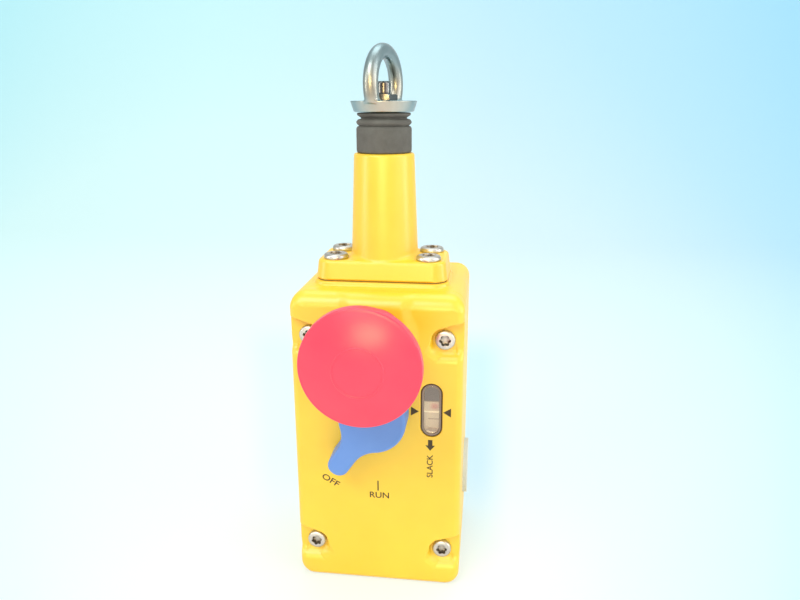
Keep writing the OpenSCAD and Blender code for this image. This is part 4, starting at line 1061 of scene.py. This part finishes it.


# Moulded blue plastic: fairly matt, its rounded edges painted a touch paler as a painted highlight
BLUE = coat("blue_moulding", (2000.0, 45.0), ((0.32, "5f8dd1"), (0.70, "6995d6")), 0.46)
overlay(BLUE, edge_wear(BLUE, 0.30, 900.0)["Rubbed And Sheen"], "84adf0")
knob = cast_mesh(
    "reset_knob_lever", knob_field,
    lines((knob_low[0] - 0.6, 0.45), (knob_high[0] + 0.6, 0.45)),
    lines((knob_low[1] - 0.4, 0.35), (knob_low[1] + 2.4, 0.9), (knob_high[1] - 0.8, 0.4),
          (knob_high[1] + 0.4, 0.4)),
    lines((knob_low[2] - 0.6, 0.45), (knob_high[2] + 0.6, 0.45)), BLUE,
)
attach(knob, "reset")
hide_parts("reset_knob")


# ---------- Window ----------
# A clear lens in a rubber seal, pressed into the cover's slot from behind. The pale bar behind it
# rides on the carriage and shows whether the rope is slack.

LENS_W, LENS_H = 6.6, 21.8
LIP, PLAY = 3.0, 0.1


def seal_field(x, y, z):
    px, pz = x - window_x, z - window_z
    ring = meet(slot_form(px, pz, WINDOW_W - PLAY, WINDOW_H - PLAY), seal_low[1] - y, 0.45)
    ring = maximum(ring, y - face_y - COVER_WALL)
    lip = slot_form(px, pz, WINDOW_W + LIP, WINDOW_H + LIP)
    lip = meet(lip, abs(y - seal_high[1] + 0.4) - 0.4, 0.2)
    return cut(minimum(ring, lip), slot_form(px, pz, LENS_W, LENS_H), 0.3)


def round_grid(low, high, step, margin):
    """Even grid lines round a box, one set for each axis."""
    return [lines((low[n] - margin[n], step), (high[n] + margin[n], step)) for n in range(3)]


SEAL_RUBBER = coat("seal_rubber", (2400.0, 160.0), ((0.30, "8c7d6c"), (0.72, "9c8c7a")), 0.6,
                   (0.00004, 0.5))
# Painted shade: the outermost edge, where it sits in the slot's shade, is painted dark brown
px, _, pz = places(SEAL_RUBBER.node_tree)
px = px - metres(window_x)
pz = (abs(pz - metres(window_z)) - (WINDOW_H - WINDOW_W) / 2 * MM).math("MAXIMUM", 0.0)
reach = (px * px + pz * pz).math("SQRT")
SHADE_FROM, SHADE_TO = WINDOW_W / 2 - 0.75, WINDOW_W / 2 - 0.45
painted_rim = reach.ranged(SHADE_FROM * MM, SHADE_TO * MM)
overlay(SEAL_RUBBER, painted_rim, "4c3a2c")
seal = cast_mesh("window_seal_ring", seal_field,
                 *round_grid(seal_low, seal_high, 0.3, (0.5, 0.3, 0.5)), SEAL_RUBBER)
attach(seal, "housing")
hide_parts("window_seal")

glass_low, glass_high = mm_box("window_lens")


def lens_field(x, y, z):
    px, pz = x - window_x, z - window_z
    crown = glass_low[1] + 0.35 * (px / (LENS_W / 2)) ** 2
    plug = meet(slot_form(px, pz, LENS_W - PLAY, LENS_H - PLAY), crown - y, 0.25)
    back = meet(slot_form(px, pz, WINDOW_W + LIP, WINDOW_H + LIP), seal_high[1] + 0.02 - y, 0.2)
    return maximum(minimum(plug, back), y - glass_high[1])


# Clear moulded acrylic, its gloss a very little uneven, with a faint warm painted glow standing in
# for light inside the window
CLEAR = coat("clear_lens", (500.0, 60.0), ((0.3, "f4f2ee"), (0.7, "fbfbf8")), (0.02, 0.07), None, {
    "Transmission Weight": 1.0, "IOR": 1.49, "Emission Color": "ffe2c8", "Emission Strength": 0.09,
})
lens = cast_mesh("window_lens_clear", lens_field,
                 *round_grid(glass_low, glass_high, 0.35, (0.4, 0.4, 0.4)), CLEAR)
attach(lens, "housing")
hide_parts("window_lens")

bar_low, bar_high = mm_box("indicator_bar")


def bar_print():
    """A pale bar with printed marks: a reddish patch at the top, a light line under it and two
    short ticks."""
    stops = ((0.3, "c2b59d"), (0.7, "cec1aa"))
    made = coat("indicator_bar_print", (900.0, 220.0), stops, 0.5, None)
    tree = made.node_tree
    across, _, up_bar = [
        (term - metres(bar_low[n])) / metres(bar_high[n] - bar_low[n])
        for n, term in enumerate(places(tree))
    ]

    def band(source, middle, half, soft=0.006):
        return abs(source - middle).ranged(half + soft, half - soft)

    overlay(made, band(up_bar, 0.88, 0.085, 0.05) * band(across, 0.62, 0.20, 0.12), "b8786c")
    overlay(made, band(up_bar, 0.715, 0.020), "f6ead4")
    for height, middle, half in ((0.51, 0.62, 0.34), (0.23, 0.50, 0.24)):
        overlay(made, band(up_bar, height, 0.013) * band(across, middle, half, 0.01), "94775e")
    # Painted light: the bar glows faintly in its own colour, standing in for the light that reaches
    # it in the shade of the casting behind the glass
    taken = tree.nodes["Principled BSDF"].inputs
    tree.links.new(taken["Base Color"].links[0].from_socket, taken["Emission Color"])
    taken["Emission Strength"].default_value = 0.08
    return made


def dress(material, *nodes):
    """Gives the objects of CAD nodes another material in every slot."""
    for node in nodes:
        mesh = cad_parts[node].data
        mesh.materials.clear()
        mesh.materials.append(material)


dress(bar_print(), "indicator_bar")


# ---------- Screws ----------
# Zinc-plated pan-head screws with a six-lobe recess. Four hold the cover and four the tower;
# smaller ones hold the chassis and clamp the wires.


def screw_tree():
    """A pan-head screw on each point: a row of rings turned about Z, with the recess lobed."""
    tree, took, gave = new_group("pan_screws", "GeometryNodeTree", {
        "Places": "Geometry", "Thread Radius": 0.002, "Length": 0.01, "Head Radius": 0.004,
        "Head Height": 0.0022, "Recess Radius": 0.0015, "Facing": "Rotation", "Turn Seed": 3,
        "Finish": "Material",
    }, {"Screws": "Geometry"})
    thread, length, head, height, recess = [Term(tree, took[label]) for label in (
        "Thread Radius", "Length", "Head Radius", "Head Height", "Recess Radius",
    )]
    # Each ring: its radius as a source times a factor, its height as a share of the head's height
    # or, below zero, of the length, whether it is lobed, and its share of the recess's shade
    rings = [
        (recess, 0.0, 0.12, 0, 0.1), (recess, 0.35, 0.10, 0, 0.3), (recess, 0.82, 0.18, 1, 0.9),
        (recess, 0.97, 0.40, 1, 1.0), (recess, 1.0, 0.90, 1, 1.0), (recess, 1.05, 0.985, 1, 0.5),
        (recess, 1.16, 1.0, 0, 0), (head, 0.72, 0.99, 0, 0), (head, 0.84, 0.95, 0, 0),
        (head, 0.93, 0.84, 0, 0), (head, 0.98, 0.66, 0, 0), (head, 1.0, 0.40, 0, 0),
        (head, 1.0, 0.08, 0, 0), (head, 0.98, 0.0, 0, 0), (thread, 1.0, 0.0, 0, 0),
        (thread, 1.0, -0.9, 0, 0), (thread, 0.55, -1.0, 0, 0), (thread, 0.0, -1.0, 0, 0),
    ]
    around, lobes, lobe_depth = 48, 6, 0.16
    # A grid whose columns run round the axis and whose rows are the rings
    sheet = add(tree, "GeometryNodeMeshGrid", {"Vertices X": around + 1, "Vertices Y": len(rings)})
    number = Term(tree, tree.nodes.new("GeometryNodeInputIndex").outputs[0])
    row = number.math("MODULO", len(rings))
    angle = (number / len(rings)).math("FLOOR") * (2 * math.pi / around)

    def chosen(entries):
        """What each row takes from a list of Terms or numbers."""
        switch = add(tree, "GeometryNodeIndexSwitch", {"Index": row}, data_type="FLOAT")
        while len(switch.index_switch_items) < len(entries):
            switch.index_switch_items.new()
        for socket, entry in zip(list(switch.inputs)[1:], entries):
            if isinstance(entry, Term):
                tree.links.new(entry.socket, socket)
            else:
                socket.default_value = float(entry)
        return Term(tree, switch.outputs[0])

    radius = chosen([ring[0] * ring[1] for ring in rings])
    rise = chosen([(length if ring[2] < 0 else height) * ring[2] for ring in rings])
    lobed = chosen([ring[3] for ring in rings])
    wave = (angle * lobes).math("COSINE") * lobe_depth
    rolled = then(tree, sheet.outputs["Mesh"], "GeometryNodeSetPosition", {
        "Position": polar(radius * (wave * lobed + 1.0), angle, rise),
    })
    # The recess's walls are marked, so that its shade can be coloured
    marked = then(tree, rolled, "GeometryNodeStoreNamedAttribute", {
        "Name": "recess", "Value": chosen([ring[4] for ring in rings]),
    }, data_type="FLOAT", domain="POINT")
    closed = then(tree, marked, "GeometryNodeMergeByDistance", {"Distance": 1e-7})
    smooth = then(tree, closed, "GeometryNodeSetShadeSmooth")
    bend = Term(tree, tree.nodes.new("GeometryNodeInputMeshEdgeAngle").outputs["Unsigned Angle"])
    crisp = then(tree, smooth, "GeometryNodeSetShadeSmooth", {
        "Selection": bend.math("GREATER_THAN", radians(34)), "Shade Smooth": False,
    }, domain="EDGE")
    spin = add(tree, "FunctionNodeRandomValue", {3: 2 * math.pi, "Seed": took["Turn Seed"]},
               data_type="FLOAT")
    turn = add(tree, "ShaderNodeCombineXYZ", {"Z": spin.outputs[1]})
    own = add(tree, "FunctionNodeEulerToRotation", {"Euler": turn.outputs[0]})
    facing = add(tree, "FunctionNodeRotateRotation", {
        "Rotation": own.outputs[0], "Rotate By": took["Facing"],
    }, rotation_space="GLOBAL")
    placed = then(tree, took["Places"], "GeometryNodeInstanceOnPoints", {
        "Instance": crisp, "Rotation": facing.outputs[0],
    })
    real = then(tree, placed, "GeometryNodeRealizeInstances")
    tree.links.new(
        then(tree, real, "GeometryNodeSetMaterial", {"Material": took["Finish"]}), gave["Screws"])
    return tree


SCREW_TREE = screw_tree()
TO_FRONT, UPRIGHT = (radians(90), 0.0, 0.0), (0.0, 0.0, 0.0)


def screws(name, node, spots, facing, thread, length, head, seed, finish):
    """A set of like screws in place of their CAD node; the heads' undersides stand on the spots."""
    made = grown(name, SCREW_TREE, {
        "Thread Radius": thread * MM, "Length": length * MM, "Head Radius": head[0] * MM,
        "Head Height": head[1] * MM, "Recess Radius": 0.50 * head[0] * MM,
        "Facing": facing, "Turn Seed": seed, "Finish": finish,
    }, spots)
    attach(made, "housing")
    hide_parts(node)


COVER_THREAD_R, COVER_SCREW_L, TOWER_THREAD_R, TOWER_SCREW_L = 2.0, 18.0, 2.5, 16.0
# Painted reflection tints the heads where they lean away, and painted shade darkens the recess's
# walls
SCREW_ZINC = metal("screw_zinc", "dcd9d2", "bebdb8", 0.36, painted_rim="b6b8b0")
recess_shade = add(SCREW_ZINC.node_tree, "ShaderNodeAttribute", attribute_name="recess")
overlay(SCREW_ZINC, recess_shade.outputs["Fac"], "8b8378")
screws("cover_pan_screws", "cover_screws",
       [(sx * screw_x, face_y + POCKET_D, z) for sx in (-1, 1) for z in screw_z],
       TO_FRONT, COVER_THREAD_R, COVER_SCREW_L, (HEAD_R, HEAD_H), 4, SCREW_ZINC)
screws("tower_pan_screws", "tower_screws",
       [(sx * TOWER_SCREW_X, sy * TOWER_SCREW_Y, flange_top) for sx in (-1, 1) for sy in (-1, 1)],
       UPRIGHT, TOWER_THREAD_R, TOWER_SCREW_L, (TOWER_HEAD_R, TOWER_HEAD_H), 7, SCREW_ZINC)


# ---------- Printed marks ----------
# Screen-printed in dark brown ink on the cover: the knob's two positions, the SLACK arrow and the
# two pointers beside the window. Each is a skin of ink a few hundredths of a millimetre thick.

INK, INK_SUNK = 0.03, 0.01


def ink_shape(level, *points):
    """A flat outline in X and in Z over a level, as a thin skin on the cover's face."""
    build = bmesh.new()
    front, back = [[build.verts.new((x, y, level + z)) for x, z in points]
                   for y in (face_y - INK, face_y + INK_SUNK)]
    build.faces.new(front)
    build.faces.new(back[::-1])
    for i in range(len(points)):
        j = (i + 1) % len(points)
        build.faces.new((front[i], back[i], back[j], front[j]))
    return finish_mesh("ink", build)


def ink_word(word, centre, width, height, turn):
    """A word on the cover's face, fitted to its width and height and turned about its centre."""
    letters = bpy.data.curves.new("ink", "FONT")
    letters.body = word
    letters.align_x = "CENTER"
    letters.extrude = 0.02
    letters.offset = 0.012
    letters.resolution_u = 6
    holder = put("ink", letters)
    mesh = solved_mesh(holder)
    bpy.data.objects.remove(holder)
    co = np.zeros(len(mesh.vertices) * 3)
    mesh.vertices.foreach_get("co", co)
    co = co.reshape(-1, 3)
    low, high = co.min(0), co.max(0)
    u, v, thick = ((co - (low + high) / 2) / (high - low) * np.array([width, height, 1.0])).T
    c, s = math.cos(turn), math.sin(turn)
    co = np.stack([
        centre[0] + u * c - v * s,
        face_y - (INK - INK_SUNK) / 2 - thick * (INK + INK_SUNK),
        centre[1] + u * s + v * c,
    ], 1) * MM
    mesh.vertices.foreach_set("co", co.ravel())
    mesh.update()
    return put("ink", mesh)


pointer_z = window_z - 0.55
marks = [
    ink_word("RUN", (0.9, knob_z - 41.1), 8.6, 2.9, 0.0),
    ink_word("OFF", (-20.8, knob_z - 35.2), 8.3, 2.9, -radians(30.6)),
    ink_word("SLACK", (23.05, window_z - 26.1), 10.9, 2.6, radians(90)),
    ink_shape(knob_z, (0.05, -38.9), (0.6, -38.9), (0.6, -34.0), (0.05, -34.0)),
    ink_shape(pointer_z, (14.8, -2.05), (18.2, 0), (14.8, 2.05)),
    ink_shape(pointer_z, (31.8, -2.05), (31.8, 2.05), (28.5, 0)),
    ink_shape(window_z, (22.2, -13.6), (22.2, -16.2), (21.1, -16.2), (23.15, -18.7),
              (25.2, -16.2), (24.1, -16.2), (24.1, -13.6)),
]
print_build = bmesh.new()
for mark in marks:
    print_build.from_mesh(mark.data)
    bpy.data.objects.remove(mark)
print_mesh = bpy.data.meshes.new("printed_marks")
print_build.to_mesh(print_mesh)
print_build.free()
# Screen ink: dark brown, matt, thinned in a few spots so that the paint shows through
BROWN_INK = coat("brown_ink", (3000.0, 900.0), (
    (0.30, "33290f"), (0.62, "3e3114"), (0.80, "6c5720"),
), 0.6, None)
printed = put("printed_marks", print_mesh, BROWN_INK)
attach(printed, "housing")


# ---------- Gaskets and plugs ----------
# Moulded rubber seals between the castings, and threaded plastic plugs in the side entries. The
# button's bezel is moulded red like its cap.


def moulding(name, light, dark, rough):
    """Moulded rubber or plastic in one colour, a little uneven."""
    return coat(name, (1700.0, 60.0), ((0.32, dark), (0.70, light)), rough)


dress(RUBBER, "knob_seal")
dress(RED, "estop_bezel")
dress(moulding("tan_gasket", "94773f", "7f6434", 0.7), "cover_gasket", "tower_gasket")
dress(moulding("grey_moulding", "d4e0e4", "c6d4d8", 0.5), "side_plugs")
dress(moulding("black_moulding", "3a3a3c", "2c2c2e", 0.42),
      "estop_nut", "stop_contact_block", "rope_contact_block")


# ---------- Inner works ----------
# The chassis, levers, slides and carriage behind the cover. They are stamped and turned in steel,
# the carriage is moulded, and the terminals are brass.

dress(metal("mild_steel", "b9bcbd", "9a9ea0", 0.34),
      "estop_stem", "knob_shaft", "crank_disc", "latch_slide", "slide_pins", "chassis",
      "trip_lever", "trip_pin", "spring_seat", "carriage_nut", "chassis_screws")
dress(SPRING_STEEL, "seat_clip", "estop_clip", "knob_clip")
dress(metal("bronze", "c08a4e", "a87440", 0.36), "rod_bush")
dress(metal("brass", "d9b65c", "c39c46", 0.30), "terminal_screws", "earth_screw")
dress(moulding("white_moulding", "e9e6df", "dcd8cf", 0.45), "carriage")
for node in ("stop_plunger", "rope_plunger"):
    dress(moulding(node + "_moulding", "b24236", "9a362c", 0.4), node)
